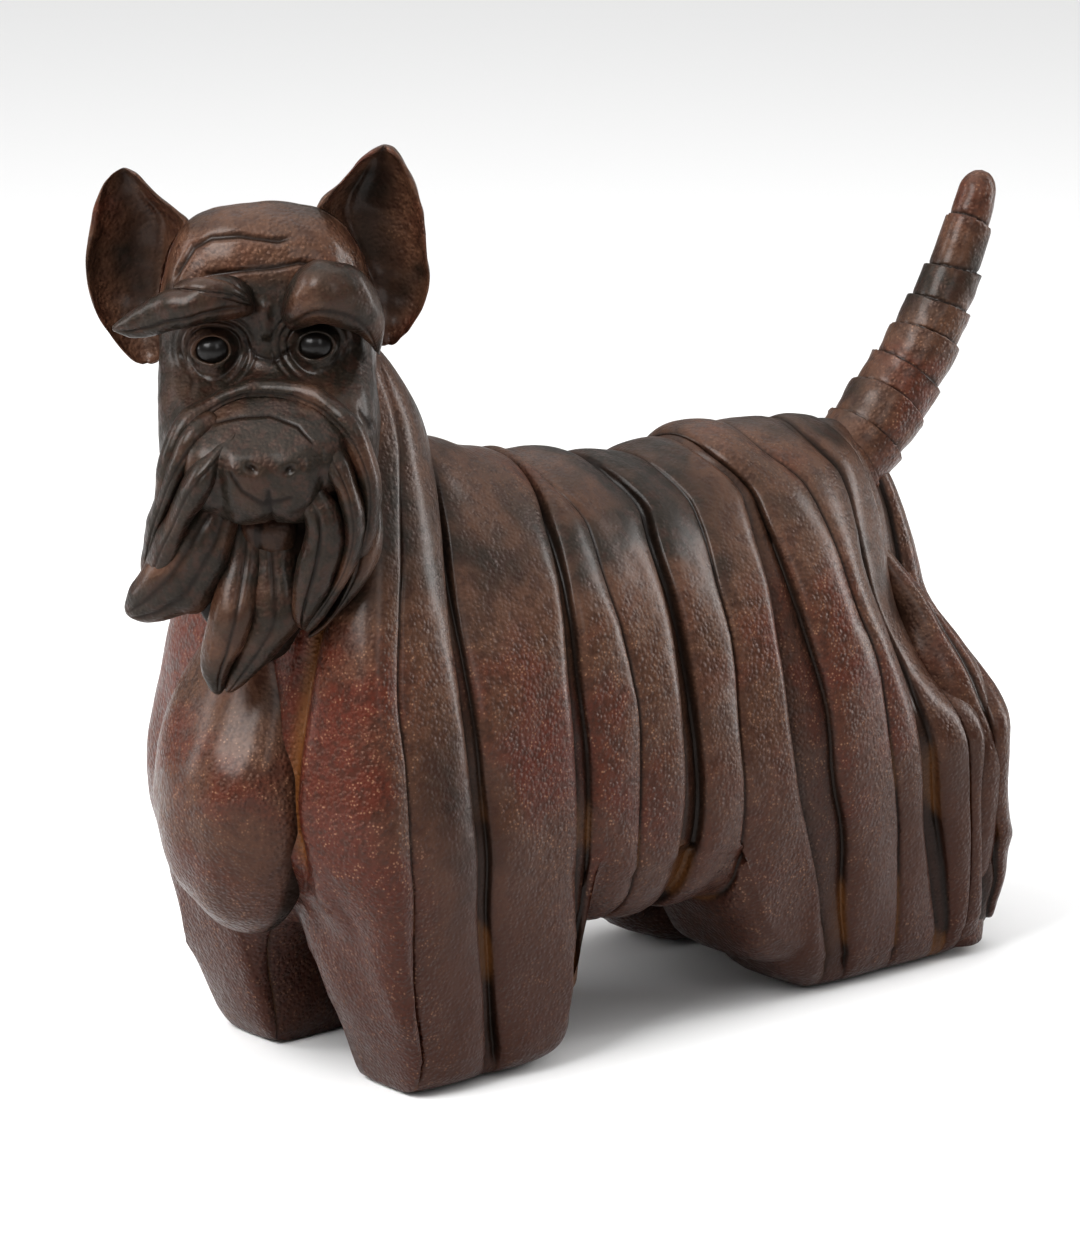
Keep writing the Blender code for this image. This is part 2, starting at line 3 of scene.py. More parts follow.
import bpy
import numpy as np
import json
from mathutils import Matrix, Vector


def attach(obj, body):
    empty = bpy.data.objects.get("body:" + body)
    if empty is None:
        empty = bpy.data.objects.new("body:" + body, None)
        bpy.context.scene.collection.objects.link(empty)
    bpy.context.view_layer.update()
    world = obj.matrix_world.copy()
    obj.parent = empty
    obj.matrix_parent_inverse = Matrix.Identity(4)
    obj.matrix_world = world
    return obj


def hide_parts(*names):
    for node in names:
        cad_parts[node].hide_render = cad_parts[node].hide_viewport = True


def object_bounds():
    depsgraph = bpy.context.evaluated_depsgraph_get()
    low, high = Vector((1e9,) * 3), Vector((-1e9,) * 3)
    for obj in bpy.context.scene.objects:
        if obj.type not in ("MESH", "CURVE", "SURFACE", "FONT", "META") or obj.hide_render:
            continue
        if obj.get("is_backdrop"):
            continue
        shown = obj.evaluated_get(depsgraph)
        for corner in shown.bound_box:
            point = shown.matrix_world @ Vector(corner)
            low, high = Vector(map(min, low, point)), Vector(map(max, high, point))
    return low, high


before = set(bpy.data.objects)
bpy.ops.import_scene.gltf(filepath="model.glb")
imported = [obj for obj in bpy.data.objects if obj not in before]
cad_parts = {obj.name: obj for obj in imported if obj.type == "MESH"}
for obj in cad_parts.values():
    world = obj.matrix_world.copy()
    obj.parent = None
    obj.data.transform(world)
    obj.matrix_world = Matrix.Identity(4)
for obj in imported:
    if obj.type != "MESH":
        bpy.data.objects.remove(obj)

# A terrier statuette clad in leather strips. Lengths in the tables are in millimetres, in the
# CAD's frame: the dog faces -Y, its left side is +X, and it stands on the ground under its middle.
cadBox = [[float(v) for v in corner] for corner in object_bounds()]
mm = 0.001


# Small tools, all for whole arrays

def smooth(start, end, x):
    # 0 before start, 1 after end, an S between them
    t = np.clip((x - start) / (end - start), 0.0, 1.0)
    return t * t * (3.0 - 2.0 * t)


def bell(x, width):
    # 1 at 0, falling off to both sides
    return np.exp(-(x / width) ** 2)


def spline(points, t):
    # Catmull-Rom curve through the rows of points, t from 0 to 1
    p = np.asarray(points, float)
    p = p.reshape(len(p), -1)
    p = np.vstack([2 * p[0] - p[1], p, 2 * p[-1] - p[-2]])
    spans = len(p) - 3
    x = np.clip(np.asarray(t, float) * spans, 0.0, spans - 1e-9)
    i = x.astype(int)
    x = (x - i)[:, None]
    a, b, c, d = p[i], p[i + 1], p[i + 2], p[i + 3]
    square = (2 * a - 5 * b + 4 * c - d) * x**2
    cube = (3 * b - a - 3 * c + d) * x**3
    return 0.5 * (2 * b + (c - a) * x + square + cube)


def lumps(points, size, seed, waves=14):
    # a sum of waves in random directions, about -1 to 1, with humps about size across
    rng = np.random.default_rng(seed)
    ways = rng.normal(size=(waves, 3))
    ways /= np.linalg.norm(ways, axis=1)[:, None]
    ways *= (math.pi / size) * rng.uniform(0.6, 1.4, size=(waves, 1))
    starts = rng.uniform(0.0, 2.0 * math.pi, waves)
    total = np.zeros(points.shape[:-1])
    for way, start in zip(ways, starts):
        total += np.cos(points @ way + start)
    return total / math.sqrt(waves)


def uneven(points, layers):
    # the sum of several lumps, each given as its height, size and seed
    return sum(height * lumps(points, size, seed) for height, size, seed in layers)


def roundedEnds(t, start, end):
    # 1 in the middle, falling to 0 in a quarter circle over the first and last shares of t
    first = np.sqrt(np.clip(1.0 - np.maximum((start - t) / start, 0.0) ** 2, 0.0, 1.0))
    last = np.sqrt(np.clip(1.0 - np.maximum((t - 1.0 + end) / end, 0.0) ** 2, 0.0, 1.0))
    return first * last


def nearLine(a, b, path):
    # distance to a drawn line in a plane, the side (+ on its left), and the share of its length
    path = np.asarray(path, float)
    spans = np.diff(path, axis=0)
    lengths = np.linalg.norm(spans, axis=1)
    before = np.concatenate([[0.0], np.cumsum(lengths)])
    best = np.full(a.shape, 1e9)
    side, along = np.zeros(a.shape), np.zeros(a.shape)
    for (x, y), (dx, dy), length, start in zip(path[:-1], spans, lengths, before):
        share = np.clip(((a - x) * dx + (b - y) * dy) / length**2, 0.0, 1.0)
        ga, gb = a - x - share * dx, b - y - share * dy
        gap = np.hypot(ga, gb)
        near = gap < best
        best = np.where(near, gap, best)
        side = np.where(near, np.sign(dx * gb - dy * ga), side)
        along = np.where(near, (start + share * length) / before[-1], along)
    return best, side, along


def gridNormals(grid):
    # unit normals of a grid of closed rings, pointing away from the grid's middle
    down = np.gradient(grid, axis=0)
    across = np.roll(grid, -1, axis=1) - np.roll(grid, 1, axis=1)
    normal = np.cross(down, across)
    normal /= np.maximum(np.linalg.norm(normal, axis=2), 1e-9)[..., None]
    outward = np.einsum("ijk,ijk->", normal, grid - grid.mean(axis=(0, 1)))
    return normal if outward > 0 else -normal


def endsOf(grid):
    # the middles of a grid's first and last rings, where its skin is closed
    return np.stack([grid[0].mean(axis=0), grid[-1].mean(axis=0)])


# Meshes

def ringMesh(name, grid, poles, shadeAndTone):
    # a closed skin over rings, with a fan at each end; per point it carries painted shade of hollows and
    # grooves, redness and tan
    rows, around = grid.shape[:2]
    points = np.vstack([grid.reshape(-1, 3), np.asarray(poles)]) * mm
    j = np.arange(around)
    k = (j + 1) % around
    i = np.arange(rows - 1)[:, None] * around
    quads = np.stack([i + j, i + around + j, i + around + k, i + k], axis=2).reshape(-1, 4)
    last = (rows - 1) * around
    fans = np.vstack([np.stack([np.full(around, rows * around), j, k], axis=1),
                      np.stack([np.full(around, rows * around + 1), last + k, last + j], axis=1)])
    tris = np.vstack([quads[:, [0, 1, 2]], quads[:, [0, 2, 3]], fans])
    a, b, c = (points[tris[:, n]] for n in range(3))
    if np.einsum("ij,ij->", a, np.cross(b, c)) < 0.0:
        quads, fans = quads[:, ::-1], fans[:, ::-1]
    mesh = bpy.data.meshes.new(name)
    mesh.from_pydata(points.tolist(), [], quads.tolist() + fans.tolist())
    mesh.shade_smooth()
    shadeAndTone = np.clip(np.concatenate([shadeAndTone, np.ones(shadeAndTone.shape[:2] + (1,))], axis=2), 0.0, 1.0)
    ends = np.stack([shadeAndTone[0].mean(axis=0), shadeAndTone[-1].mean(axis=0)])
    layer = mesh.attributes.new("shadeAndTone", "FLOAT_COLOR", "POINT")
    layer.data.foreach_set("color", np.vstack([shadeAndTone.reshape(-1, 4), ends]).astype(np.float32).ravel())
    piece = bpy.data.objects.new(name, mesh)
    bpy.context.scene.collection.objects.link(piece)
    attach(piece, "root")
    return piece


def shadeAndToneOf(cavityShade, redness, tan=0.0):
    # the three colour values, painted shade, redness and tan, as one array
    zero = np.zeros(np.shape(cavityShade))
    return np.stack([zero + cavityShade, zero + redness, zero + tan], axis=-1)


# Trunk: one skin whose rings run over the back, down a flank and a leg and under the belly

trunkSizes = {"back": 211.5, "flank": 146.0, "shoulder": 62.0, "neck": 45.0, "rumpTaper": 0.62,
              "belly": 47.0, "chestKeel": 60.0, "end": 125.0, "frontToe": -151.0, "frontHeel": -60.0,
              "hindToe": 38.0, "frontGap": 46.0, "hindGap": 32.0, "gapTop": 56.0, "sole": 12.0,
              "bellyRound": 26.0, "rings": 384, "chestEnd": -150.0, "rumpEnd": 148.0,
              "toeLong": 24.0, "toeRise": (0.0, 0.13, 0.38, 0.77, 1.0), "heelDip": 10.0}
# What the leather does on it: depth of a sunken strip, crown and tilt of a raised one, softness of its
# lip, the groove and the painted shade along its edge, and how far the whole stays in
cladding = {"sunk": 4.2, "crown": 2.3, "tilt": 1.1, "lip": 0.8, "groove": 1.7, "grooveWide": 1.6,
            "edgeShade": 0.75, "edgeShadeWide": 1.3, "shade": 1.8, "seamWide": 0.75, "inset": 0.8,
            "uneven": ((1.0, 42.0, 11), (0.40, 17.0, 12), (0.07, 6.0, 13))}
# The hollow beside the chest lobe: place across, wander, half width and depth
besideLobe = {"place": 36.0, "wander": 3.0, "wide": 3.4, "depth": 4.5}
# Height of the back over its lowest part, then the share of the full girth at each height
spine = ((-171, 50), (-160, 62), (-149, 69), (-138, 58), (-127, 43), (-116, 30), (-102, 19), (-84, 13),
         (-62, 10), (-30, 6), (10, -1), (45, 1), (75, 5), (115, 3), (140, -4), (168, -26))
girth = ((0, 0.86), (40, 0.94), (90, 1.0), (140, 0.91), (170, 0.80), (200, 0.71), (240, 0.56), (300, 0.50))
# Each edge in the leather as height and place along the body. Two lines bound a sunken strip.
edges = {
    "front": ((0, -154), (110, -174), (211, -162)),
    "corner": ((9, -133), (41, -141), (96, -146), (153, -144), (185, -136), (240, -116)),
    "first": ((5, -102), (74, -114), (116, -115), (141, -116), (175, -111.5), (194, -106), (245, -89.5)),
    "firstEnd": ((5, -96), (40, -104), (74, -108.5), (116, -109), (141, -110), (175, -107), (194, -102.5),
                 (245, -87)),
    "second": ((3, -60), (65, -65), (92, -67), (118, -65.5), (147, -65), (175, -61.5), (205, -53),
               (213, -47)),
    "secondEnd": ((3, -55), (65, -59), (92, -61), (118, -58.5), (147, -59.5), (175, -57.5), (205, -50),
                  (213, -44)),
    "thinB": ((0, -37), (85, -37.5), (130, -33.5), (177, -39), (212, -33)),
    "third": ((0, -20), (58, -17), (79, -15.6), (107, -13), (129, -12.5), (159, -10.5), (190, -9),
              (206, 0)),
    "thirdEnd": ((0, -12), (61, -9), (77, -6), (105, -4.6), (128, -5.6), (158, -5.6), (189, -4.5),
                 (205, 4)),
    "thinA": ((0, 9), (73, 16), (110, 15), (137, 17), (172, 17), (197, 22), (212, 26)),
    "fourth": ((0, 69), (54, 54), (86, 42), (113, 40), (148, 39), (184, 42), (200, 48)),
    "fourthEnd": ((0, 80), (33, 71), (63, 69), (89, 60.5), (120, 60), (155, 53), (192, 50), (200, 52)),
    "thinC": ((0, 103), (62, 98), (93, 90.6), (128, 88), (154, 79), (188, 77), (212, 75)),
    "fifth": ((13, 125), (59, 112), (94, 107), (116, 106), (139, 101), (162, 95), (185, 99), (203, 99)),
    "fifthEnd": ((12, 131), (30, 128), (61, 120), (100, 113), (125, 111), (157, 101), (182, 102),
                 (203, 103)),
    "fold": ((0, 138), (20, 139), (84, 132), (122, 126), (212, 119)),
    "sixth": ((0, 150), (37, 144), (71, 139.5), (96, 141), (117, 139), (212, 128)),
    "sixthEnd": ((0, 164), (37, 157), (62, 146), (88, 145), (109, 147), (212, 135)),
    "back": ((0, 172), (110, 168), (211, 154)),
}
strips = (("first", "firstEnd"), ("second", "secondEnd"), ("third", "thirdEnd"), ("fourth", "fourthEnd"),
          ("fifth", "fifthEnd"), ("sixth", "sixthEnd"))
thinSeams = {"corner": 1.6, "thinB": 1.0, "thinA": 1.1, "thinC": 1.0, "fold": 1.2}


def softLine(points, heights, window=17):
    # a drawn line at even heights, its corners worn off by a moving average
    z, y = np.array(sorted(points), float).T
    line = np.interp(heights, z, y)
    pad = window // 2
    return np.convolve(np.pad(line, pad, mode="edge"), np.ones(window) / window, mode="valid")


def trunkRows(stations, count):
    # places of the rings: an even spread, three times as dense near the edges in the leather
    fine = np.linspace(-173.9, 167.9, 4000)
    need = 1.0 + sum(2.2 * bell(fine - s, 2.0) for s in stations[1:-1])
    need += 2.5 * smooth(-166.0, -173.0, fine) + 2.5 * smooth(160.0, 167.0, fine)
    reach = np.concatenate([[0.0], np.cumsum(0.5 * (need[1:] + need[:-1]))])
    return np.interp(np.linspace(0.0, reach[-1], count), reach, fine)


def trunkProfile(s):
    # heights and half widths of the half rings at places s: a quarter ellipse over the back, straight
    # down the flank, a quarter circle into the sole, flat across it, and a quarter ellipse up between
    # the legs
    sizes = trunkSizes
    fine = np.arange(0.0, 301.0)
    width = 0.5 * sizes["flank"] * softLine(girth, fine, 25)
    s = s[:, None]
    places = np.arange(-175.0, 170.0)
    top = sizes["back"] + np.interp(s, places, softLine(spine, places, 9))
    shoulder = top - sizes["shoulder"] - sizes["neck"] * smooth(-60.0, -120.0, s)
    turn = np.linspace(math.pi / 2, 0.0, 36)
    z = shoulder + (top - shoulder) * np.sin(turn)
    x = np.interp(z, fine, width) * np.cos(turn)
    past = s - sizes["frontHeel"]
    lift = smooth(sizes["frontToe"] + 5.0, sizes["frontToe"] - 12.0, s) * sizes["chestKeel"]
    share = (sizes["hindToe"] - s) / sizes["toeLong"]
    toe = np.interp(share, np.linspace(0.0, 1.0, len(sizes["toeRise"])), sizes["toeRise"])
    dip = sizes["heelDip"] * smooth(22.0, 0.0, past) * smooth(0.0, 6.0, past)
    low = lift + smooth(-2.0, 6.0, past) * toe * sizes["belly"] + dip
    bulge = smooth(-6.0, 10.0, past) * smooth(-8.0, -30.0, s - sizes["hindToe"])
    turned = sizes["sole"] + (sizes["bellyRound"] - sizes["sole"]) * bulge
    down = shoulder + (low + turned - shoulder) * np.linspace(0.0, 1.0, 59)[1:]
    foot = np.interp(low, fine, width)
    bend = np.linspace(0.0, math.pi / 2, 11)[1:]
    gap = 0.5 * (sizes["hindGap"] + (sizes["frontGap"] - sizes["hindGap"]) * smooth(0.0, -50.0, s))
    arch = np.maximum(sizes["gapTop"], low - 1.0)
    sole = np.linspace(0.0, 1.0, 6)[1:]
    rise = np.linspace(0.0, math.pi / 2, 15)[1:]
    inner = foot - turned + (gap + 2.0 - foot + turned) * sole
    parts = [(z, x), (down, np.interp(down, fine, width)),
             (low + turned * (1.0 - np.sin(bend)), foot - turned * (1.0 - np.cos(bend))),
             (low + 0.0 * inner, inner),
             (low + (arch - low) * np.sin(rise), (gap + 2.0) * np.maximum(np.cos(rise), 0.0) ** 0.7)]
    return np.hstack([p[0] for p in parts]), np.hstack([p[1] for p in parts])


def trunkPlace(s, z, stations):
    # place along the body: between the two drawn edges on either side of ring s, at height z, with the
    # strips swept forward where they cross the back
    heights = np.arange(0.0, 301.0)
    lines = [softLine(points, heights) for points in edges.values()]
    middle = (smooth(-70.0, -20.0, s) * smooth(150.0, 110.0, s))[:, None]
    sweep = 9.0 * smooth(196.0, 214.0, z) * middle
    table = np.stack([np.interp(z, heights, line) for line in lines])
    cell = np.clip(np.searchsorted(stations, s) - 1, 0, len(stations) - 2)
    share = ((s - stations[cell]) / (stations[cell + 1] - stations[cell]))[:, None]
    rows = np.arange(len(s))
    return table[cell, rows] * (1.0 - share) + table[cell + 1, rows] * share - sweep


def trunkRelief(s, stations):
    # height of the leather over the skin and the painted shade in its recesses: strips sunk between two
    # edges, grooves that die away from each edge and seam, and a low crown with a slight tilt on each raised
    # strip
    at = dict(zip(edges, stations))
    look = cladding
    relief, cavityShade = np.zeros(s.shape), np.zeros(s.shape)
    stops = [at["front"]]
    for start, end in strips:
        a, b = at[start], at[end]
        inside = smooth(a - look["lip"], a + 0.2, s) * smooth(b + look["lip"], b - 0.2, s)
        relief -= look["sunk"] * inside
        shade = np.exp(-np.minimum(np.abs(s - a), np.abs(s - b)) / look["shade"])
        # painted shade over each sunken strip, darkest next to its edges
        cavityShade += inside * (0.42 + 0.58 * shade)
        for edge in (a, b):
            gap = np.abs(s - edge)
            relief -= look["groove"] * np.exp(-gap / look["grooveWide"]) * (1.0 - inside)
            # painted shade along the outside of each edge
            cavityShade += look["edgeShade"] * np.exp(-gap / look["edgeShadeWide"]) * (1.0 - inside)
        stops += [a, b]
    for name, depth in thinSeams.items():
        groove = bell(s - at[name], look["seamWide"])
        relief -= depth * groove
        # painted shade in each thin seam
        cavityShade += 0.8 * groove
        stops.append(at[name])
    stops = np.sort(np.append(stops, at["back"]))
    cell = np.clip(np.searchsorted(stops, s) - 1, 0, len(stops) - 2)
    share = (s - stops[cell]) / (stops[cell + 1] - stops[cell])
    wide = np.minimum((stops[cell + 1] - stops[cell]) / 30.0, 1.0)
    tilt = np.random.default_rng(5).uniform(-look["tilt"], look["tilt"], len(stops))[cell]
    relief += look["crown"] * wide * (4.0 * share * (1.0 - share)) ** 0.7 + tilt * (share - 0.5)
    return relief, cavityShade


# Each foot's middle across and along, its two half sizes, and the radius of its rim
feet = {"front": (41.5, -104.0, 32.5, 48.0), "hind": (40.5, 104.0, 32.5, 62.0)}
footRound = 16.0


def roundFeet(x, y, z):
    # draws points near a foot into a rounded plan, |a|^n + |b|^n under 1, rounder towards the ground,
    # and lifts the sole's rim in a quarter circle
    power = 2.2 + 1.0 * smooth(0.0, 42.0, z) + 8.0 * smooth(38.0, 92.0, z)
    amount = smooth(95.0, 52.0, z)
    for middleX, middleY, halfX, halfY in feet.values():
        heel = middleY + halfY if middleY < 0.0 else middleY - halfY
        near = amount * smooth(-14.0, 8.0, (heel - y) * (1.0 if middleY < 0.0 else -1.0))
        a, b = (x - middleX) / halfX, (y - middleY) / halfY
        over = np.maximum((np.abs(a) ** power + np.abs(b) ** power) ** (1.0 / power), 1.0)
        pull = near * smooth(0.0, 0.35, np.abs(a)) * smooth(0.0, 0.35, np.abs(b)) * (1.0 - 1.0 / over)
        x, y = x - pull * (x - middleX), y - pull * (y - middleY)
        a, b = np.abs(x - middleX) / halfX, np.abs(y - middleY) / halfY
        rim = np.clip(((a**2.3 + b**2.3) ** (1.0 / 2.3) - 0.60) / 0.42, 0.0, 0.98)
        lift = footRound * (1.0 - np.sqrt(1.0 - rim**2)) * near
        z = z + lift * np.maximum(1.0 - z / (2.0 * footRound), 0.0)
    return x, y, z


def trunk():
    # the half rings are shrunk in a rounded end at the chest and the rump, laid along the drawn edges,
    # mirrored, and moved along their normals by the leather's relief
    lines = [np.array(sorted(points), float).T for points in edges.values()]
    stations = np.array([float(np.interp(110.0, *line)) for line in lines])
    s = trunkRows(stations, trunkSizes["rings"])
    z, x = trunkProfile(s)
    front = np.clip((trunkSizes["chestEnd"] - s) / 24.0, 0.0, 1.0)
    rear = np.clip((s - trunkSizes["rumpEnd"]) / 20.0, 0.0, 1.0)
    chestScale = np.sqrt(np.maximum(1.0 - front**2.4, 0.0))
    rumpScale = np.sqrt(np.maximum(1.0 - rear**2.4, 0.0))
    scale = (chestScale * rumpScale)[:, None]
    taper = smooth(90.0, 150.0, s)[:, None] * smooth(90.0, 150.0, z)
    x = x * scale * (1.0 - trunkSizes["rumpTaper"] * taper)
    z = trunkSizes["end"] + (z - trunkSizes["end"]) * scale
    y = trunkPlace(s, z, stations)
    x, y, z = roundFeet(x, y, z)
    half = np.stack([x, y, z], axis=2)
    other = half[:, -2:0:-1] * (-1.0, 1.0, 1.0)
    grid = np.concatenate([half, other], axis=1)
    normal = gridNormals(grid)
    relief, cavityShade = trunkRelief(s, stations)
    steady = 0.75 + 0.35 * lumps(grid, 60.0, 3)
    height = grid[..., 2]
    shallow = smooth(232.0, 200.0, height) * smooth(0.0, 14.0, height)
    sunken = np.clip(steady, 0.45, 1.2) * (0.35 + 0.65 * shallow)
    offset = relief[:, None] * np.where(relief[:, None] < 0.0, sunken, 1.0)
    offset = offset + uneven(grid, cladding["uneven"])
    offset *= smooth(0.0, 9.0, height) * 0.9 + 0.1
    across = grid[..., 0] - besideLobe["place"] - besideLobe["wander"] * np.sin(height / 30.0)
    beside = bell(across, besideLobe["wide"]) * smooth(-150.0, -158.0, grid[..., 1])
    beside *= smooth(80.0, 100.0, height) * smooth(235.0, 215.0, height)
    offset -= besideLobe["depth"] * beside
    grid = grid + normal * (offset - cladding["inset"])[..., None]
    grid[..., 2] = np.maximum(grid[..., 2], 0.0)
    # painted shade in the recesses, weaker on top of the back and at the ground, and in the hollow beside
    # the chest lobe
    hollow = cavityShade[:, None] * (0.4 + 0.6 * shallow) + 0.35 * beside
    redness = 0.55 + 0.45 * smooth(-120.0, -150.0, grid[..., 1]) * smooth(215.0, 170.0, height)
    redness += 0.22 * lumps(grid, 48.0, 21) - 0.35 * smooth(150.0, 205.0, height)
    tan = cavityShade[:, None] * smooth(0.1, 0.9, lumps(grid, 30.0, 22)) * smooth(150.0, 60.0, height)
    return ringMesh("leather_trunk", grid, endsOf(grid), shadeAndToneOf(hollow, redness, tan + 0.9 * beside))


body = trunk()
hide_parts("dog_figure")
print("trunk", len(body.data.polygons))


# Forms on the trunk

def tube(line, wide, thin, facing, rows, around):
    # oval rings carried along a curve, wide across and thin towards facing
    along = np.gradient(line, axis=0)
    along /= np.linalg.norm(along, axis=1)[:, None]
    side = np.cross(along, np.asarray(facing, float))
    side /= np.linalg.norm(side, axis=1)[:, None]
    out = np.cross(side, along)
    turn = np.linspace(0.0, 2.0 * math.pi, around, endpoint=False)
    return (line[:, None] + side[:, None] * wide[:, None, None] * np.cos(turn)[None, :, None]
            + out[:, None] * thin[:, None, None] * np.sin(turn)[None, :, None])


lobe = {"tip": 56.0, "top": 184.0, "half": 36.5, "middle": -3.5, "root": -160.0, "depth": 34.0,
        "uneven": ((1.1, 34.0, 31), (0.35, 13.0, 32), (0.06, 5.0, 33))}
# A row of holes as (x, z) of its ends
stitchHoles = {"from": (-21.0, 151.0), "to": (-36.5, 137.0), "count": 7, "width": 0.75, "depth": 1.1}


def holesAt(grid):
    # small round pits in a row across the lobe's upper right, as seen from the front
    a, b = np.array(stitchHoles["from"]), np.array(stitchHoles["to"])
    pits = np.zeros(grid.shape[:2])
    for share in np.linspace(0.0, 1.0, stitchHoles["count"]):
        x, z = a + (b - a) * share
        pits += bell(np.hypot(grid[..., 0] - x, grid[..., 2] - z), stitchHoles["width"])
    return np.clip(pits, 0.0, 1.0) * (grid[..., 1] < lobe["root"] - 2.0)


def chestLobe():
    # the shield-shaped swelling of the chest: rings up its height, pointed below, full ahead and flat
    # behind
    t = np.linspace(0.004, 0.996, 230)
    z = lobe["tip"] + (lobe["top"] - lobe["tip"]) * t
    swell = np.sin(math.pi * t**0.82) ** 0.60
    turn = np.linspace(0.0, 2.0 * math.pi, 330, endpoint=False)
    x = lobe["middle"] + lobe["half"] * swell[:, None] * np.cos(turn)
    ahead = np.maximum(np.sin(turn), 0.0) ** 0.8 + np.minimum(np.sin(turn), 0.0) * 0.4
    y = lobe["root"] - lobe["depth"] * (swell * (1.0 - 0.35 * smooth(0.4, 1.0, t)))[:, None] * ahead
    grid = np.stack([x, y, z[:, None] + 0.0 * x], axis=2)
    pits = holesAt(grid)
    offset = uneven(grid, lobe["uneven"]) - stitchHoles["depth"] * pits
    grid = grid + gridNormals(grid) * offset[..., None]
    # painted shade in the crease where the lobe meets the chest, and in the stitch holes
    rim = smooth(0.36, 0.05, np.sin(turn)) + 1.2 * pits
    redness = 0.58 + 0.2 * lumps(grid, 30.0, 34)
    return ringMesh("chest_leather", grid, endsOf(grid), shadeAndToneOf(0.85 * rim, redness))


haunch = {"line": ((24, 122, 166), (34, 132, 138), (49, 140, 104), (52, 146, 60), (46, 146, 3)),
          "wide": (3, 11, 18, 19, 14), "thin": (3, 10, 15, 15, 13), "folds": (20.0, 75.0, 120.0, 170.0),
          "foldDepth": 1.7}


def haunchPad(name, side, seed):
    # the wavy pad behind a hind leg: an oval tube whose folds run down it and sway in sines
    t = np.linspace(0.0, 1.0, 90)
    line = spline(haunch["line"], t) * (side, 1.0, 1.0)
    wide = spline(haunch["wide"], t)[:, 0] * (1.0 + 0.10 * np.sin(15.0 * t + seed))
    thin = spline(haunch["thin"], t)[:, 0] * (1.0 + 0.08 * np.sin(13.0 * t + 2.0 * seed))
    grid = tube(line, wide, thin, (0.0, 1.0, 0.0), 90, 72)[1:-1]
    turn = np.linspace(0.0, 360.0, 72, endpoint=False)
    folds = sum(bell((turn - at - 12.0 * np.sin(9.0 * t[1:-1, None] + at) + 180.0) % 360.0 - 180.0, 7.0)
                for at in haunch["folds"])
    folds = folds * (smooth(0.12, 0.45, t) * smooth(1.0, 0.80, t))[1:-1, None]
    relief = uneven(grid, ((0.8, 22.0, seed), (0.2, 9.0, seed + 1))) - haunch["foldDepth"] * folds
    grid = grid + gridNormals(grid) * relief[..., None]
    grid[..., 2] = np.maximum(grid[..., 2], 0.0)
    # painted shade in the folds
    shadeAndTone = shadeAndToneOf(0.9 * folds, 0.45 + 0.2 * lumps(grid, 25.0, seed + 2))
    return ringMesh(name, grid, endsOf(grid), shadeAndTone)


tailSizes = {"line": ((0, 118, 186), (0, 139, 198), (0, 159.5, 218.5), (0, 176.5, 240), (0, 190, 264),
                      (0, 203, 298.5)),
             "cuffs": 9, "base": 17.0, "tip": 6.4, "step": 2.2,
             "uneven": ((0.35, 16.0, 41), (0.12, 5.0, 42))}


def tailCuffs():
    # wrapped cuffs up a curve: each widens to its upper edge, which overhangs the next one
    t = np.linspace(0.0, 1.0, 300)
    line = spline(tailSizes["line"], t)
    turn = np.linspace(0.0, 2.0 * math.pi, 80, endpoint=False)
    rng = np.random.default_rng(8)
    count = tailSizes["cuffs"]
    level = t[:, None] * count + 0.0 * turn
    cut = np.zeros(level.shape)
    share = np.zeros(level.shape)
    for k in range(count):
        low = k + 0.0 * turn
        if k:
            low = low + (0.10 * np.cos(turn - rng.uniform(0, 6.3)) + rng.uniform(-0.05, 0.05))
        inside = level >= low
        share = np.where(inside, level - low, share)
        cut = np.where(inside, bell(level - low, 0.07), cut)
    radius = tailSizes["base"] + (tailSizes["tip"] - tailSizes["base"]) * t**2
    step = tailSizes["step"] * (0.55 + 0.45 * radius / tailSizes["base"])
    ring = radius[:, None] + step[:, None] * (np.clip(share, 0.0, 1.0) ** 0.8 - 0.5) - 0.5 * cut
    ring *= np.sqrt(np.clip(1.0 - np.maximum((t - 0.955) / 0.05, 0.0) ** 2, 0.02, 1.0))[:, None]
    along = np.gradient(line, axis=0)
    along /= np.linalg.norm(along, axis=1)[:, None]
    side = np.cross(along, (1.0, 0.0, 0.0))
    across = np.array([1.0, 0.0, 0.0]) * np.cos(turn)[None, :, None]
    grid = line[:, None] + ring[..., None] * (across + side[:, None] * np.sin(turn)[None, :, None])
    grid = grid + gridNormals(grid) * uneven(grid, tailSizes["uneven"])[..., None]
    # painted shade in the groove under each cuff's edge
    shadeAndTone = shadeAndToneOf(0.9 * cut, 0.40 + 0.2 * lumps(grid, 25.0, 43))
    return ringMesh("tail_leather", grid, (line[0], line[-1] + 0.4 * along[-1]), shadeAndTone)


chest = chestLobe()
pads = [haunchPad("right_haunch", -1.0, 51), haunchPad("left_haunch", 1.0, 61)]
tail = tailCuffs()
print("chest, haunches and tail")


# Head, made in its own frame: r to the dog's left, f forward, u up from the middle of the skull

headSizes = {"place": (-3.0, -151.0, 280.0), "turn": 50.0, "roll": 2.5, "half": 39.0, "crown": 44.0,
             "jaw": 74.0, "front": 24.0, "back": 44.0, "muzzle": 36.0, "square": 3.3,
             "uneven": ((0.7, 24.0, 71), (0.3, 10.0, 72), (0.12, 4.0, 73))}
# How far the muzzle stands out at each share of the jaw's drop, as shares of its own depth
muzzleRise = ((-1.04, 0.0), (-0.95, 0.40), (-0.82, 0.78), (-0.66, 0.97), (-0.50, 1.0), (-0.42, 0.90),
              (-0.30, 0.58), (-0.19, 0.22), (-0.12, 0.0))


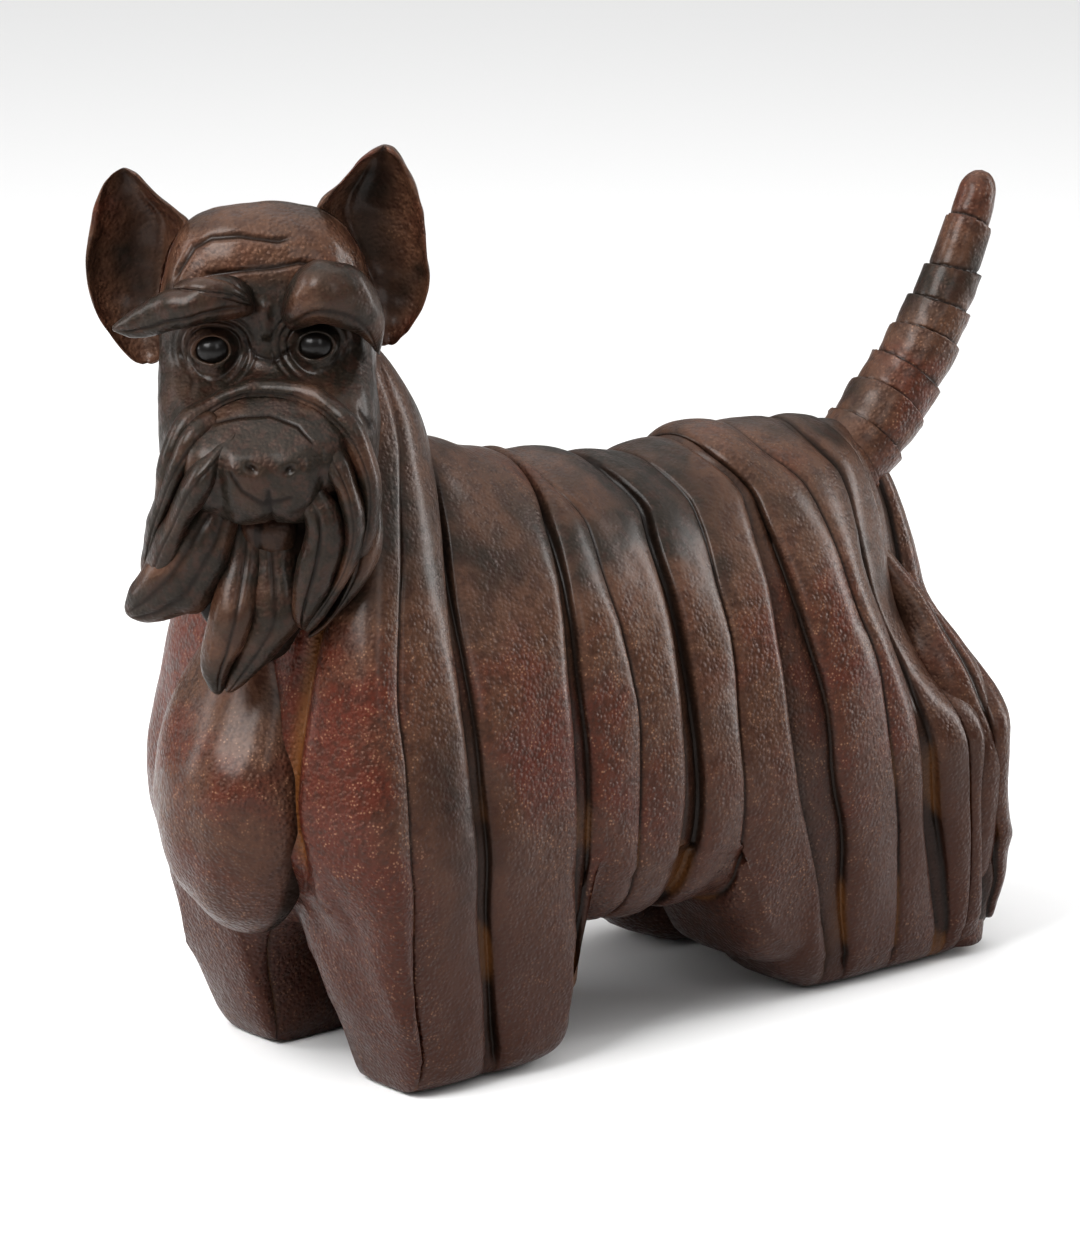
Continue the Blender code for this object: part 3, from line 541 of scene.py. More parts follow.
def seat(grid):
    # from the head's frame to the world: turned about the vertical, rolled about the nose, and moved
    turn, roll = math.radians(headSizes["turn"]), math.radians(headSizes["roll"])
    left = np.array([math.cos(turn), math.sin(turn), 0.0])
    ahead = np.array([math.sin(turn), -math.cos(turn), 0.0])
    rise = np.array([0.0, 0.0, 1.0])
    ways = np.stack([left * math.cos(roll) + rise * math.sin(roll), ahead,
                     rise * math.cos(roll) - left * math.sin(roll)])
    return np.asarray(grid) @ ways + np.array(headSizes["place"])


# Folds drawn on the face as (r, u): groove depth and width, and how far the leather on the line's
# right stands over the rest
folds = (
    (((-33, 19), (-29, 25.5), (-23.6, 32.8), (-16.7, 35.6), (-6.6, 35.8), (6.8, 33.8), (14.3, 34.9)),
     1.4, 1.1, 0.9),
    (((-22, 23), (-6.9, 24.4), (5.6, 25.1), (14, 26.3), (20.6, 25.1), (28, 23.4)), 1.2, 1.0, 0.5),
    (((-20, -25), (-9, -23.5), (2, -23.5), (12, -27), (19, -34)), 0.8, 0.7, 0.8),
    (((31.8, -22.2), (38.2, -34.9), (38.8, -44.7), (36.1, -56.8)), 0.9, 0.9, 0.6),
    (((-8, 1), (-3, -6), (3, -8), (9, -5), (13, 0)), 0.5, 0.9, 0.0),
    (((-13.2, -37.3), (-8.1, -45.7), (-0.3, -50.6), (11.1, -48.2)), 0.5, 0.7, 0.0),
    (((0.8, -45.1), (1.2, -60.7)), 1.5, 0.9, 0.0),
    (((-16.2, -57.9), (-8, -59.6), (-1, -59.8), (7, -59.6), (15.1, -61.7)), 1.7, 0.9, -0.8),
)
eyes = {"right_eye": (-18.3, 20.5, -3.5), "left_eye": (18.3, 20.5, -3.5)}
eyeRadius = 7.2
# Round each eye: the lid's radius, height and half width, the depths of the socket in it and of the
# hollow round it, the rings of creases with theirs, and how much tan shows on the right and left lid
lids = {"radius": 5.9, "height": 4.3, "wide": 1.8, "socket": 5.5, "hollow": 2.4,
        "creases": ((8.7, 0.9), (11.4, 0.8), (14.0, 0.5)), "tanRight": 0.30, "tanLeft": 0.15}
# The nose: heights of its bridge, its block and the two lobes of the lip, the nostrils' places and depth
nose = {"bridge": 1.8, "block": 3.0, "lip": 1.1, "lips": ((-4.5, -53.0), (7.5, -53.5)),
        "nostrils": ((-4.5, -38.9), (8.6, -39.8)), "depth": 1.9}


def faceRelief(r, u):
    # height over the plain face, the painted shade in its folds, creases, eye sockets and nostrils, and tan:
    # bells across the drawn folds, rings round the eyes, a ridge between them, and the nose with its
    # nostrils
    relief, cavityShade, tan = np.zeros(r.shape), np.zeros(r.shape), np.zeros(r.shape)
    for path, depth, width, lift in folds:
        gap, side, along = nearLine(r, u, path)
        taper = smooth(0.0, 0.12, along) * smooth(1.0, 0.88, along)
        relief -= depth * bell(gap, width) * taper
        right = 0.5 - 0.5 * np.tanh(side * gap / width)
        relief += lift * right * np.exp(-gap / 9.0) * taper
        cavityShade += 0.8 * bell(gap, 1.2 * width) * taper
    for er, _, eu in eyes.values():
        away = np.hypot((r - er) / 1.08, (u - eu) / 0.95)
        around = np.arctan2(u - eu, r - er)
        relief += lids["height"] * bell(away - lids["radius"], lids["wide"])
        relief -= lids["socket"] * smooth(5.0, 4.1, away) + lids["hollow"] * bell(away - 4.0, 9.0)
        for ring, deep in lids["creases"]:
            crease = bell(away - ring - 0.5 * np.sin(3.0 * around + er), 0.7)
            crease *= 0.45 + 0.55 * np.abs(np.sin(around))
            relief -= deep * crease
            cavityShade += 0.55 * crease
        # painted shade in the eye socket and the hollow round it
        cavityShade += 0.8 * smooth(4.9, 4.1, away) + 0.10 * bell(away - 3.0, 9.0)
        tan += lids["tanRight" if er < 0.0 else "tanLeft"] * bell(away - lids["radius"], 1.0)
    relief += nose["bridge"] * bell(r - 1.0, 2.2) * smooth(-2.0, 3.0, u) * smooth(16.0, 10.0, u)
    block = smooth(-17.0, -10.5, r) * smooth(20.5, 14.0, r)
    relief += nose["block"] * block * smooth(-28.0, -42.0, u) * smooth(-62.5, -58.0, u)
    for lr, lu in nose["lips"]:
        relief += nose["lip"] * bell(np.hypot(r - lr, u - lu), 5.0)
    for nr, nu in nose["nostrils"]:
        pit = bell(np.hypot((r - nr) / 1.5, u - nu - 0.25 * np.abs(r - 2.0) + 1.6), 1.2)
        relief -= nose["depth"] * pit
        cavityShade += 0.9 * pit
    return relief, cavityShade, tan


def faceFront(r, u, share):
    # forward place of the face: a flat forehead rounded off at its rim, with the muzzle's block out of it
    skull = headSizes["front"] * np.sqrt(np.maximum(1.0 - share**5, 0.0))
    rise = np.array(muzzleRise) * (headSizes["jaw"], headSizes["muzzle"])
    fine = np.arange(-90.0, 60.0)
    block = np.interp(u, fine, softLine(rise.tolist(), fine, 9))
    falloff = np.sqrt(np.maximum(1.0 - (np.abs(r) / (1.08 * headSizes["half"])) ** 3.4, 0.0))
    return skull + block * falloff


def headBlock():
    # rings from the nose out to the outline, along the sides, then round to the skull's rear, each a
    # squared circle |r|^n + |u|^n = 1
    turn = np.linspace(0.0, 2.0 * math.pi, 430, endpoint=False)
    middle = 0.5 * (headSizes["crown"] - headSizes["jaw"])
    half = 0.5 * (headSizes["crown"] + headSizes["jaw"])
    power = 2.0 / headSizes["square"]
    unitR = np.sign(np.cos(turn)) * np.abs(np.cos(turn)) ** power
    unitU = np.sign(np.sin(turn)) * np.abs(np.sin(turn)) ** power
    ahead = 1.0 - (1.0 - np.linspace(0.012, 1.0, 150)) ** 1.25
    r, u = headSizes["half"] * ahead[:, None] * unitR, middle + half * ahead[:, None] * unitU
    f = faceFront(r, u, ahead[:, None])
    relief, cavityShade, tan = faceRelief(r, u)
    fade = smooth(1.0, 0.93, ahead)[:, None]
    front = np.stack([r, f, u], axis=2)
    wall = np.linspace(0.0, 1.0, 12)[1:-1, None, None]
    flat = front[-1] * (1.0, 0.0, 1.0)
    walls = front[-1] * (1.0 - wall) + flat * wall
    behind = np.sin(np.linspace(1.0, 0.0, 34) * math.pi / 2)[1:, None]
    r, u = headSizes["half"] * behind * unitR, middle + half * behind * unitU
    depth = headSizes["back"] * np.sqrt(1.0 - behind**2.2) * (0.55 + 0.45 * smooth(-60.0, 0.0, u))
    rear = np.stack([r, -depth, u], axis=2)[:-1]
    grid = np.concatenate([front, walls, flat[None], rear])
    normal = gridNormals(grid)
    count = len(grid) - len(front)
    zero = np.zeros((count, len(turn)))
    relief = np.vstack([relief * fade, zero])
    cavityShade, tan = np.vstack([cavityShade * fade, zero]), np.vstack([tan * fade, zero])
    grid = grid + normal * (relief + uneven(grid, headSizes["uneven"]))[..., None]
    brown = smooth(8.0, 30.0, grid[..., 2]) + smooth(10.0, -10.0, grid[..., 1])
    redness = 0.46 * np.clip(brown, 0.0, 1.0) + 0.12 * lumps(grid, 20.0, 74)
    return ringMesh("head_leather", seat(grid), seat(endsOf(grid)), shadeAndToneOf(cavityShade, redness, tan))


# Pads with drawn edges: upper and lower edge as (r, u), forward place and thickness along them, grooves
# as the share across and the depth, how red the leather is, and how dark where it lies in shade
facePads = {
    "right_brow": {
        "upper": ((-2, 17), (-9, 23), (-18.3, 24.4), (-26.8, 21.5), (-34.4, 19.5), (-42.1, 15.1),
                  (-48.2, 10.3), (-53, 6.5)),
        "lower": ((-2, 9), (-10, 8.5), (-18, 8), (-24.3, 6.7), (-32.6, 5.4), (-38.6, 3.5), (-46, 3.2),
                  (-53, 5.5)),
        "depth": (22, 27, 30, 31, 30, 28, 26, 24),
        "thick": (4, 7, 8, 8, 7, 5.5, 3.5, 1.0),
        "grooves": ((0.66, 0.8),), "redness": 0.1},
    "brow_fold": {
        "upper": ((-31, 21.5), (-26, 24), (-18, 24.5), (-9, 21.5), (-3, 15)),
        "lower": ((-31, 19.5), (-26, 18.5), (-18, 16.5), (-9, 14.5), (-3, 13)),
        "depth": (29, 31.5, 33.5, 31, 27),
        "thick": (2, 4.5, 5.0, 4.5, 2),
        "grooves": ((0.5, 0.6),), "redness": 0.05},
    "left_brow": {
        "upper": ((7.5, 10), (10, 18), (14, 25), (20, 28.5), (27, 27.5), (34.5, 24.5), (40, 16.7),
                  (43, 5), (41.5, -10)),
        "lower": ((7, 8), (10, 3.4), (15, 4.8), (20, 5.6), (25, 4.6), (29, 2.4), (33, 0), (36.5, -4),
                  (40, -11)),
        "depth": (22, 25, 28, 29, 29, 27, 24, 20, 14),
        "thick": (4, 9, 11, 11.5, 11, 10, 8.5, 6.5, 3),
        "grooves": ((0.72, 0.4),), "redness": 0.05},
    "muzzle_hood": {
        "upper": ((-45, -76), (-42, -58), (-38.5, -42), (-32.4, -25), (-20, -16.5), (-7.7, -12.6),
                  (0.4, -12.2), (12.6, -13.3), (21.5, -16.2), (32.5, -26), (39.3, -42), (39.5, -57),
                  (36, -71), (28, -85)),
        "lower": ((-41, -74), (-36, -58), (-32, -44), (-25, -30), (-15.6, -23.5), (-7.6, -20.8),
                  (0.6, -20.7), (12.7, -23.6), (21.5, -29.4), (29, -39.5), (32.3, -50), (32, -62),
                  (29.5, -73), (24, -86)),
        "depth": (33, 39, 43, 42, 37.5, 35, 34.5, 37, 41.5, 46, 46.5, 45.5, 44, 41),
        "thick": (1.5, 5, 6, 5.5, 4.8, 4.5, 4.5, 4.8, 5.2, 6, 6.5, 6.5, 5.5, 1.5),
        "grooves": ((0.55, 0.35),), "redness": 0.04},
    "right_band": {
        "upper": ((-18, -21), (-27, -25), (-34, -36), (-41, -53), (-46, -67), (-48.5, -81)),
        "lower": ((-12, -29), (-22.2, -37.5), (-31, -48), (-38, -62), (-42.5, -74), (-46, -84)),
        "depth": (42, 45, 45, 40, 36.5, 34),
        "thick": (3, 7, 8, 7.5, 5.5, 1.5),
        "grooves": ((0.5, 0.5),), "redness": 0.05},
    "strand_right": {
        "upper": ((-8, -26), (-20.5, -33.5), (-30, -44), (-40, -63.5), (-46, -78), (-48.5, -88.5)),
        "lower": ((-13.6, -38), (-20.5, -49), (-27.5, -59.5), (-36, -76), (-41, -85), (-45, -90)),
        "depth": (50, 53, 50, 43.5, 39, 36),
        "thick": (4, 8, 9, 8, 6, 1.5),
        "grooves": ((0.42, 0.4),), "redness": 0.04},
    "tuft_right": {
        "upper": ((-12, -34), (-24, -50), (-38, -67), (-47, -78), (-52, -86), (-54.5, -94)),
        "lower": ((-8, -46), (-14, -72), (-24, -92), (-32.4, -95), (-44.9, -98), (-53, -96.5)),
        "depth": (42, 44, 42, 41, 39, 37),
        "thick": (4, 8, 10, 8.5, 6, 2),
        "grooves": ((0.35, 0.6), (0.66, 0.8)), "redness": 0.08},
    "tuft_middle": {
        "upper": ((-14, -54), (-18, -74), (-23.5, -92), (-26.5, -105), (-27, -116), (-24, -124.5)),
        "lower": ((-2, -54), (-3, -75), (-7, -94), (-12, -107), (-16.5, -114), (-21, -124.5)),
        "depth": (37, 42, 46, 46, 45, 42),
        "thick": (4, 6, 8, 7.5, 5.5, 2),
        "grooves": ((0.6, 0.8),), "redness": 0.05},
    "tuft_left": {
        "upper": ((-8, -54), (-8, -76), (-10, -94), (-15, -108), (-19, -119), (-19.5, -124.5)),
        "lower": ((8, -54), (10, -78), (10, -97), (2, -107.5), (-9, -118.5), (-17, -124.5)),
        "depth": (37, 41, 44, 44, 43, 41),
        "thick": (4, 6, 7.5, 6.5, 5, 1.5),
        "grooves": ((0.45, 0.8),), "redness": 0.0},
    "curl_left": {
        "upper": ((10, -50), (12.5, -62), (9, -76), (5.6, -90), (6.5, -98), (9, -101.5)),
        "lower": ((20, -46), (25.5, -58), (26, -70), (21, -84), (15, -93.5), (10.5, -102)),
        "depth": (54, 53, 51, 49, 47, 45),
        "thick": (3, 6, 7, 6.5, 5, 1.5),
        "grooves": ((0.4, 1.5),), "redness": 0.12},
    "strand_left": {
        "upper": ((12, -28), (18.4, -41), (24, -51), (26, -64), (22.5, -78), (16, -90), (9, -101)),
        "lower": ((22, -27), (30, -40), (33.5, -54), (33, -68), (29, -80), (21, -92), (11, -103.5)),
        "depth": (47, 50, 50, 48.5, 47, 45.5, 44),
        "thick": (3, 7, 8.5, 8.5, 7.5, 5.5, 1.5),
        "grooves": ((0.5, 0.4),), "redness": 0.03},
    "outer_left": {
        "upper": ((24, -60), (26, -70), (26, -80), (22, -90), (16, -99), (10, -105)),
        "lower": ((39, -56), (39, -68), (36, -80), (29, -91), (20, -101), (11, -107)),
        "depth": (36, 38, 39, 39, 39, 40),
        "thick": (3, 8, 9, 8, 6, 1.5),
        "grooves": ((0.4, 0.6),), "redness": 0.03},
    "chin": {
        "upper": ((-10, -58), (-11, -64), (-10, -70), (-8, -77)),
        "lower": ((8, -58), (9, -64), (8, -71), (6, -77)),
        "depth": (41, 42.5, 41.5, 38),
        "thick": (3, 5, 5, 3),
        "grooves": ((0.35, 0.5),), "redness": 0.34, "dark": 0.55},
}


def edgedPad(name, spec, seed, rows=110, around=84):
    # a closed form between two drawn edges: an oval section from one to the other, which shrinks in a
    # quarter circle at both ends, with grooves along it
    t = np.linspace(0.0, 1.0, rows)
    upper, lower = spline(spec["upper"], t), spline(spec["lower"], t)
    depth, thick = spline(spec["depth"], t)[:, 0], spline(spec["thick"], t)[:, 0]
    close = roundedEnds(t, 0.04, 0.06)
    turn = np.linspace(0.0, 2.0 * math.pi, around, endpoint=False)
    across = np.sign(np.cos(turn)) * np.abs(np.cos(turn)) ** 0.85 * close[:, None]
    middle, reach = 0.5 * (upper + lower), 0.5 * (upper - lower)
    flat = middle[:, None] + reach[:, None] * across[..., None]
    f = depth[:, None] + thick[:, None] * np.sin(turn) * close[:, None]
    grid = np.stack([flat[..., 0], f, flat[..., 1]], axis=2)
    share = 0.5 - 0.5 * across
    ends = smooth(0.02, 0.2, t)[:, None] * smooth(1.0, 0.85, t)[:, None]
    relief, cavityShade = np.zeros(share.shape), np.zeros(share.shape)
    for at, deep in spec["grooves"]:
        wander = at + 0.05 * np.sin(5.0 * t + seed)[:, None]
        cut = bell(share - wander, 0.055) * ends * (np.sin(turn) > 0.0)
        relief -= deep * cut
        # painted shade in the groove
        cavityShade += 0.7 * cut
    relief += uneven(grid, ((0.45, 12.0, seed), (0.12, 4.0, seed + 1)))
    grid = (grid + gridNormals(grid) * relief[..., None])[1:-1]
    redness = spec["redness"] + 0.15 * lumps(grid, 14.0, seed + 2)
    shadeAndTone = shadeAndToneOf(cavityShade[1:-1] + spec.get("dark", 0.0), redness)
    return ringMesh(name, seat(grid), seat(endsOf(grid)), shadeAndTone)


# An ear's side and its rows from foot to tip: height, inner edge, outer edge
ears = {
    "right_ear": (-1.0, ((-13, 42, 46), (-10, 38, 50), (-4, 36, 55), (5, 32, 60.4), (14.5, 29, 63.2),
                         (26.6, 27, 63.6), (36.7, 26, 61), (42, 29.5, 59.8), (46.9, 35, 58.4),
                         (52.1, 39.7, 56.2), (55.5, 42.5, 53.7), (58.4, 46, 50.5))),
    "left_ear": (1.0, ((-10, 41, 45), (-7, 38, 48), (-4, 36, 51.2), (4, 33, 56.7), (13.4, 30, 59.3),
                       (21, 26, 58.8), (36, 20, 58.3), (43, 21.8, 57), (49.9, 28.6, 54.8), (54, 32.5, 53),
                       (57.3, 35.7, 51.3), (60, 39.5, 49), (62.4, 44, 46.5))),
}
earSizes = {"place": -4.0, "cup": 10.0, "cupAt": 34.0, "rim": 2.2, "wall": 5.5, "fold": 1.2}


def ear(name, side, rows, seed):
    # a cupped ear: rows from its foot to its tip, a parabola in front with a rolled rim, round behind,
    # drawn together at both ends
    t = np.linspace(0.0, 1.0, 110)
    u, inner, outer = spline(rows, t).T
    close = roundedEnds(t, 0.05, 0.07)[:, None]
    across = np.sin(np.linspace(-0.5, 0.5, 60) * math.pi)
    span = outer - inner
    r = 0.5 * (inner + outer)[:, None] + 0.5 * span[:, None] * close * across
    sizes = earSizes
    hollow = sizes["place"] - sizes["cup"] * (span / sizes["cupAt"])[:, None] * (1.0 - across**2)
    fold = sizes["fold"] * bell(across + 0.45, 0.10)
    fold = fold * (smooth(0.15, 0.45, t) * smooth(0.9, 0.6, t))[:, None]
    front = hollow + sizes["rim"] * bell(np.abs(across) - 0.93, 0.09) - fold
    behind = hollow - sizes["wall"] * (0.45 + 0.55 * np.sqrt(1.0 - across**2))
    middle = 0.5 * (front + behind).mean(axis=1)[:, None]
    front, behind = middle + (front - middle) * close, middle + (behind - middle) * close
    r, f = np.hstack([r, r[:, ::-1]]), np.hstack([front, behind[:, ::-1]])
    grid = np.stack([side * r, f, u[:, None] + 0.0 * r], axis=2)
    offset = uneven(grid, ((0.5, 15.0, seed), (0.15, 5.0, seed + 1))) * close
    grid = grid + gridNormals(grid) * offset[..., None]
    # painted shade inside the cup, where the leather is also less red
    deep = np.hstack([(1.0 - across**2) ** 1.5, 0.0 * across]) * smooth(0.0, 0.3, t)[:, None]
    redness = 0.46 - 0.20 * deep + 0.15 * lumps(grid, 18.0, seed + 2)
    return ringMesh(name, seat(grid), seat(endsOf(grid)), shadeAndToneOf(0.55 * deep, redness))


beardWedge = {"line": ((0, 36, -44), (-2, 36, -72), (-6, 35, -88), (-10, 34, -106), (-15, 34, -119)),
              "wide": (20, 33, 27, 14, 3), "thin": (8, 8, 8, 6, 2)}


def wedge():
    # the mass behind the strands of the beard, coloured all over as deep painted shade: an oval tube with
    # lengthwise lumps
    t = np.linspace(0.0, 1.0, 100)
    wide, thin = (spline(beardWedge[k], t)[:, 0] for k in ("wide", "thin"))
    grid = tube(spline(beardWedge["line"], t), wide, thin, (0.0, 1.0, 0.0), 100, 96)[1:-1]
    grid = grid + gridNormals(grid) * (0.8 * lumps(grid * (1.0, 1.0, 0.35), 6.0, 81))[..., None]
    shadeAndTone = shadeAndToneOf(0.9 + 0.0 * grid[..., 0], 0.15)
    return ringMesh("beard_wedge", seat(grid), seat(endsOf(grid)), shadeAndTone)


def globe(name, middle, radius):
    # a glass eye: a sphere of level rings with a point above and below
    lift = np.linspace(-math.pi / 2, math.pi / 2, 34)[1:-1]
    turn = np.linspace(0.0, 2.0 * math.pi, 64, endpoint=False)
    flat = np.cos(lift)[:, None]
    rise = np.sin(lift)[:, None] + 0.0 * turn
    unit = np.stack([flat * np.cos(turn), flat * np.sin(turn), rise], axis=2)
    ends = np.array(middle) + ((0.0, 0.0, -radius), (0.0, 0.0, radius))
    return ringMesh(name, seat(unit * radius + middle), seat(ends), shadeAndToneOf(0.0 * rise, 0.0))


headParts = [headBlock(), wedge()]
headParts += [ear(name, side, rows, 90 + 5 * n) for n, (name, (side, rows)) in enumerate(ears.items())]
headParts += [edgedPad(name, spec, 100 + 7 * n) for n, (name, spec) in enumerate(facePads.items())]
glass = {name: globe(name + "_glass", middle, eyeRadius) for name, middle in eyes.items()}
for name, piece in glass.items():
    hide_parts(name)
leatherPieces = [body, chest, tail] + pads + headParts
print("head", len(headParts), "pieces")


# Materials

def hexColour(text):
    # sRGB hex to linear values: a straight line where it is darkest, and a power of 2.4 above
    values = [int(text[k:k + 2], 16) / 255.0 for k in (1, 3, 5)]
    return [v / 12.92 if v <= 0.04045 else ((v + 0.055) / 1.055) ** 2.4 for v in values] + [1.0]


def node(tree, kind, settings=None, **links):
    # adds a node, sets its own fields, and sets or links its inputs, where Base_Color stands for the
    # input of that name and _2 for the third one
    made = tree.nodes.new(kind)
    for key, value in (settings or {}).items():
        setattr(made, key, value)
    for key, value in links.items():
        field = made.inputs[int(key[1:])] if key[1:].isdigit() else made.inputs[key.replace("_", " ")]
        if isinstance(value, bpy.types.NodeSocket):
            tree.links.new(value, field)
        else:
            field.default_value = value
    return made


def stepped(tree, sources, steps, joined):
    # each step takes a source smoothly from low to high as it goes from start to end; the steps are then
    # multiplied or added up
    total = None
    for source, start, end, low, high in steps:
        step = node(tree, "ShaderNodeMapRange", {"interpolation_type": "SMOOTHSTEP"}, Value=sources[source],
                    _1=start, _2=end, _3=low, _4=high).outputs[0]
        if total is None:
            total = step
        else:
            total = node(tree, "ShaderNodeMath", {"operation": joined}, _0=total, _1=step).outputs[0]
    return total


def newMaterial(name, look):
    # a material whose shader's own values come from a dictionary
    made = bpy.data.materials.new(name)
    made.use_nodes = True
    shader = made.node_tree.nodes["Principled BSDF"]
    for key, value in look["shader"].items():
        shader.inputs[key].default_value = hexColour(value) if isinstance(value, str) else value
    return made, made.node_tree, shader


# Pattern sizes in mm: the broad mottling, the fine one, the pebbles of the grain and the light specks
# painted as glints on the grain's tops.
# The pebbles of real leather are about 1 mm; these are drawn a little coarser, so that they show.
leatherLook = {
    "broad": 26.3, "fine": 4.76, "pebble": 1.786, "glintDots": 1.389, "bumpHeight": 1.1, "bumpStrength": 0.75,
    # Of these colours, the near-black hollow one is painted shade, the low one is partly painted shade near
    # the ground, the light speck one is painted glints on the grain, and the rest are the leather's own
    "black": "#15130f", "brown": "#463024", "red": "#471d13", "stain": "#2c1b15", "low": "#2e1107",
    "glintSpeck": "#8a6a54", "hollow": "#0d0603", "tan": "#5e3c1c",
    "shader": {"Specular Tint": "#ffdac4", "Specular IOR Level": 0.20, "Coat Weight": 0.30,
               "Coat Roughness": 0.25},
}
# Colours laid over each other from the black up, each with its steps: source, start, end, share at both
leatherLayers = (
    ("brown", (("lean", 0.0, 0.45, 0.0, 1.0),)),
    ("red", (("lean", 0.40, 1.0, 0.0, 1.0),)),
    ("stain", (("fine", 0.56, 0.36, 0.0, 0.62),)),
    # darker and redder towards the ground: partly painted shade near the floor, partly the legs' own deeper
    # red
    ("low", (("height", 0.17, 0.02, 0.0, 0.86),)),
    # light specks painted as glints on the grain's tops, only where the leather is brown or red
    ("glintSpeck", (("glintDots", 0.40, 0.14, 0.0, 1.0), ("fine", 0.47, 0.60, 0.0, 0.55),
               ("redness", 0.25, 0.70, 0.06, 1.0))),
    # painted shade in hollows, grooves, folds, creases and pits
    ("hollow", (("cavityShade", 0.1, 0.9, 0.0, 0.96),)),
    ("tan", (("tan", 0.1, 0.9, 0.0, 0.7),)),
)
leatherRoughness = (("fine", 0.3, 0.7, 0.30, 0.52), ("cavityShade", 0.0, 0.8, 0.0, 0.45),
                    ("redness", 0.45, 0.0, 0.0, 0.12))
leatherPebbles = (("pebble", 0.75, 0.0, 0.0, 1.0), ("redness", 0.25, 0.75, 0.30, 0.60))
leatherDrift = (("broad", 0.35, 0.65, -0.16, 0.16),)  # how far the mottling shifts brown to red


def leather(name):
    # waxed brown leather, hand stained: mottled and redder on the chest, with painted shade that darkens and
    # dulls its hollows and grooves, light specks painted as glints on the grain's tops, and a pebbled grain
    # that breaks its sheen into small glints
    look = leatherLook
    made, tree, shader = newMaterial(name, look)
    place = node(tree, "ShaderNodeTexCoord").outputs["Object"]
    shadeAndTone = node(tree, "ShaderNodeAttribute", {"attribute_name": "shadeAndTone"}).outputs["Color"]
    parts = node(tree, "ShaderNodeSeparateColor", None, Color=shadeAndTone).outputs
    sources = dict(zip(("cavityShade", "redness", "tan"), parts))
    sources["height"] = node(tree, "ShaderNodeSeparateXYZ", None, Vector=place).outputs["Z"]
    for key, detail, roughness in (("broad", 2.0, 0.6), ("fine", 2.5, 0.65)):
        sources[key] = node(tree, "ShaderNodeTexNoise", None, Vector=place, Scale=1.0 / (look[key] * mm),
                            Detail=detail, Roughness=roughness).outputs[0]
    for key in ("pebble", "glintDots"):
        sources[key] = node(tree, "ShaderNodeTexVoronoi", {"feature": "F1"}, Vector=place,
                            Scale=1.0 / (look[key] * mm)).outputs[0]
    drift = stepped(tree, sources, leatherDrift, "ADD")
    sources["lean"] = node(tree, "ShaderNodeMath", {"operation": "ADD", "use_clamp": True},
                           _0=sources["redness"], _1=drift).outputs[0]
    colour = hexColour(look["black"])
    for key, steps in leatherLayers:
        share = stepped(tree, sources, steps, "MULTIPLY")
        colour = node(tree, "ShaderNodeMix", {"data_type": "RGBA"}, _0=share, _6=colour,
                      _7=hexColour(look[key])).outputs[2]
    tree.links.new(colour, shader.inputs["Base Color"])
    tree.links.new(stepped(tree, sources, leatherRoughness, "ADD"), shader.inputs["Roughness"])
    pebbles = stepped(tree, sources, leatherPebbles, "MULTIPLY")
    skin = node(tree, "ShaderNodeMath", {"operation": "ADD"}, _0=pebbles, _1=sources["fine"])
    bump = node(tree, "ShaderNodeBump", None, Strength=look["bumpStrength"],
                Distance=look["bumpHeight"] * mm, Height=skin.outputs[0])
    tree.links.new(bump.outputs[0], shader.inputs["Normal"])
    return made


# Cast glass, near black and slightly dulled with age, whose round highlight gives the eye its life
glassLook = {"shader": {"Base Color": "#0c0806", "Roughness": 0.30, "Specular IOR Level": 0.25,
                        "Coat Weight": 0.15, "Coat Roughness": 0.12}}
# Matt white paper under the dog, pale enough to fade out behind it
floorLook = {"size": 12.0, "drop": 0.0005, "shader": {"Base Color": "#dedede", "Roughness": 0.95}}

brownLeather = leather("waxed_brown_leather")
darkGlass = newMaterial("dark_eye_glass", glassLook)[0]
for piece in leatherPieces:
    piece.data.materials.append(brownLeather)
for piece in glass.values():
    piece.data.materials.append(darkGlass)
for name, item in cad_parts.items():
    item.data.materials.clear()
    item.data.materials.append(brownLeather if name == "dog_figure" else darkGlass)
print("materials")


# Floor, light and camera

def layFloor():
    # one square, just under the soles
    half = 0.5 * floorLook["size"]
    corners = [(x * half, y * half, 0.0) for x, y in ((-1, -1), (1, -1), (1, 1), (-1, 1))]
    mesh = bpy.data.meshes.new("floor")
    mesh.from_pydata(corners, [], [(0, 1, 2, 3)])
    mesh.materials.append(newMaterial("matt_white_paper", floorLook)[0])
    floor = bpy.data.objects.new("floor", mesh)
    floor.location = (0.0, 0.0, -floorLook["drop"])
    bpy.context.scene.collection.objects.link(floor)
    floor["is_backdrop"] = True


layFloor()
worldStrength = 0.30
world = bpy.data.worlds.new("studio")
world.use_nodes = True
world.node_tree.nodes["Background"].inputs["Color"].default_value = (1.0, 1.0, 1.0, 1.0)
world.node_tree.nodes["Background"].inputs["Strength"].default_value = worldStrength
bpy.context.scene.world = world
bpy.context.scene.view_settings.view_transform = "Standard"
bpy.context.scene.view_settings.look = "Medium High Contrast"

# Read off the photo: angles in degrees, distance and aim in metres, metres to a pixel at the aim, and the
# picture's height in pixels
cameraPlace = {"azimuth": 50.0, "elevation": 14.0, "distance": 2.2, "aim": (-0.0324, 0.0017, 0.1408),
               "pitch": 0.000385, "height": 1242, "sensor": 24.0}
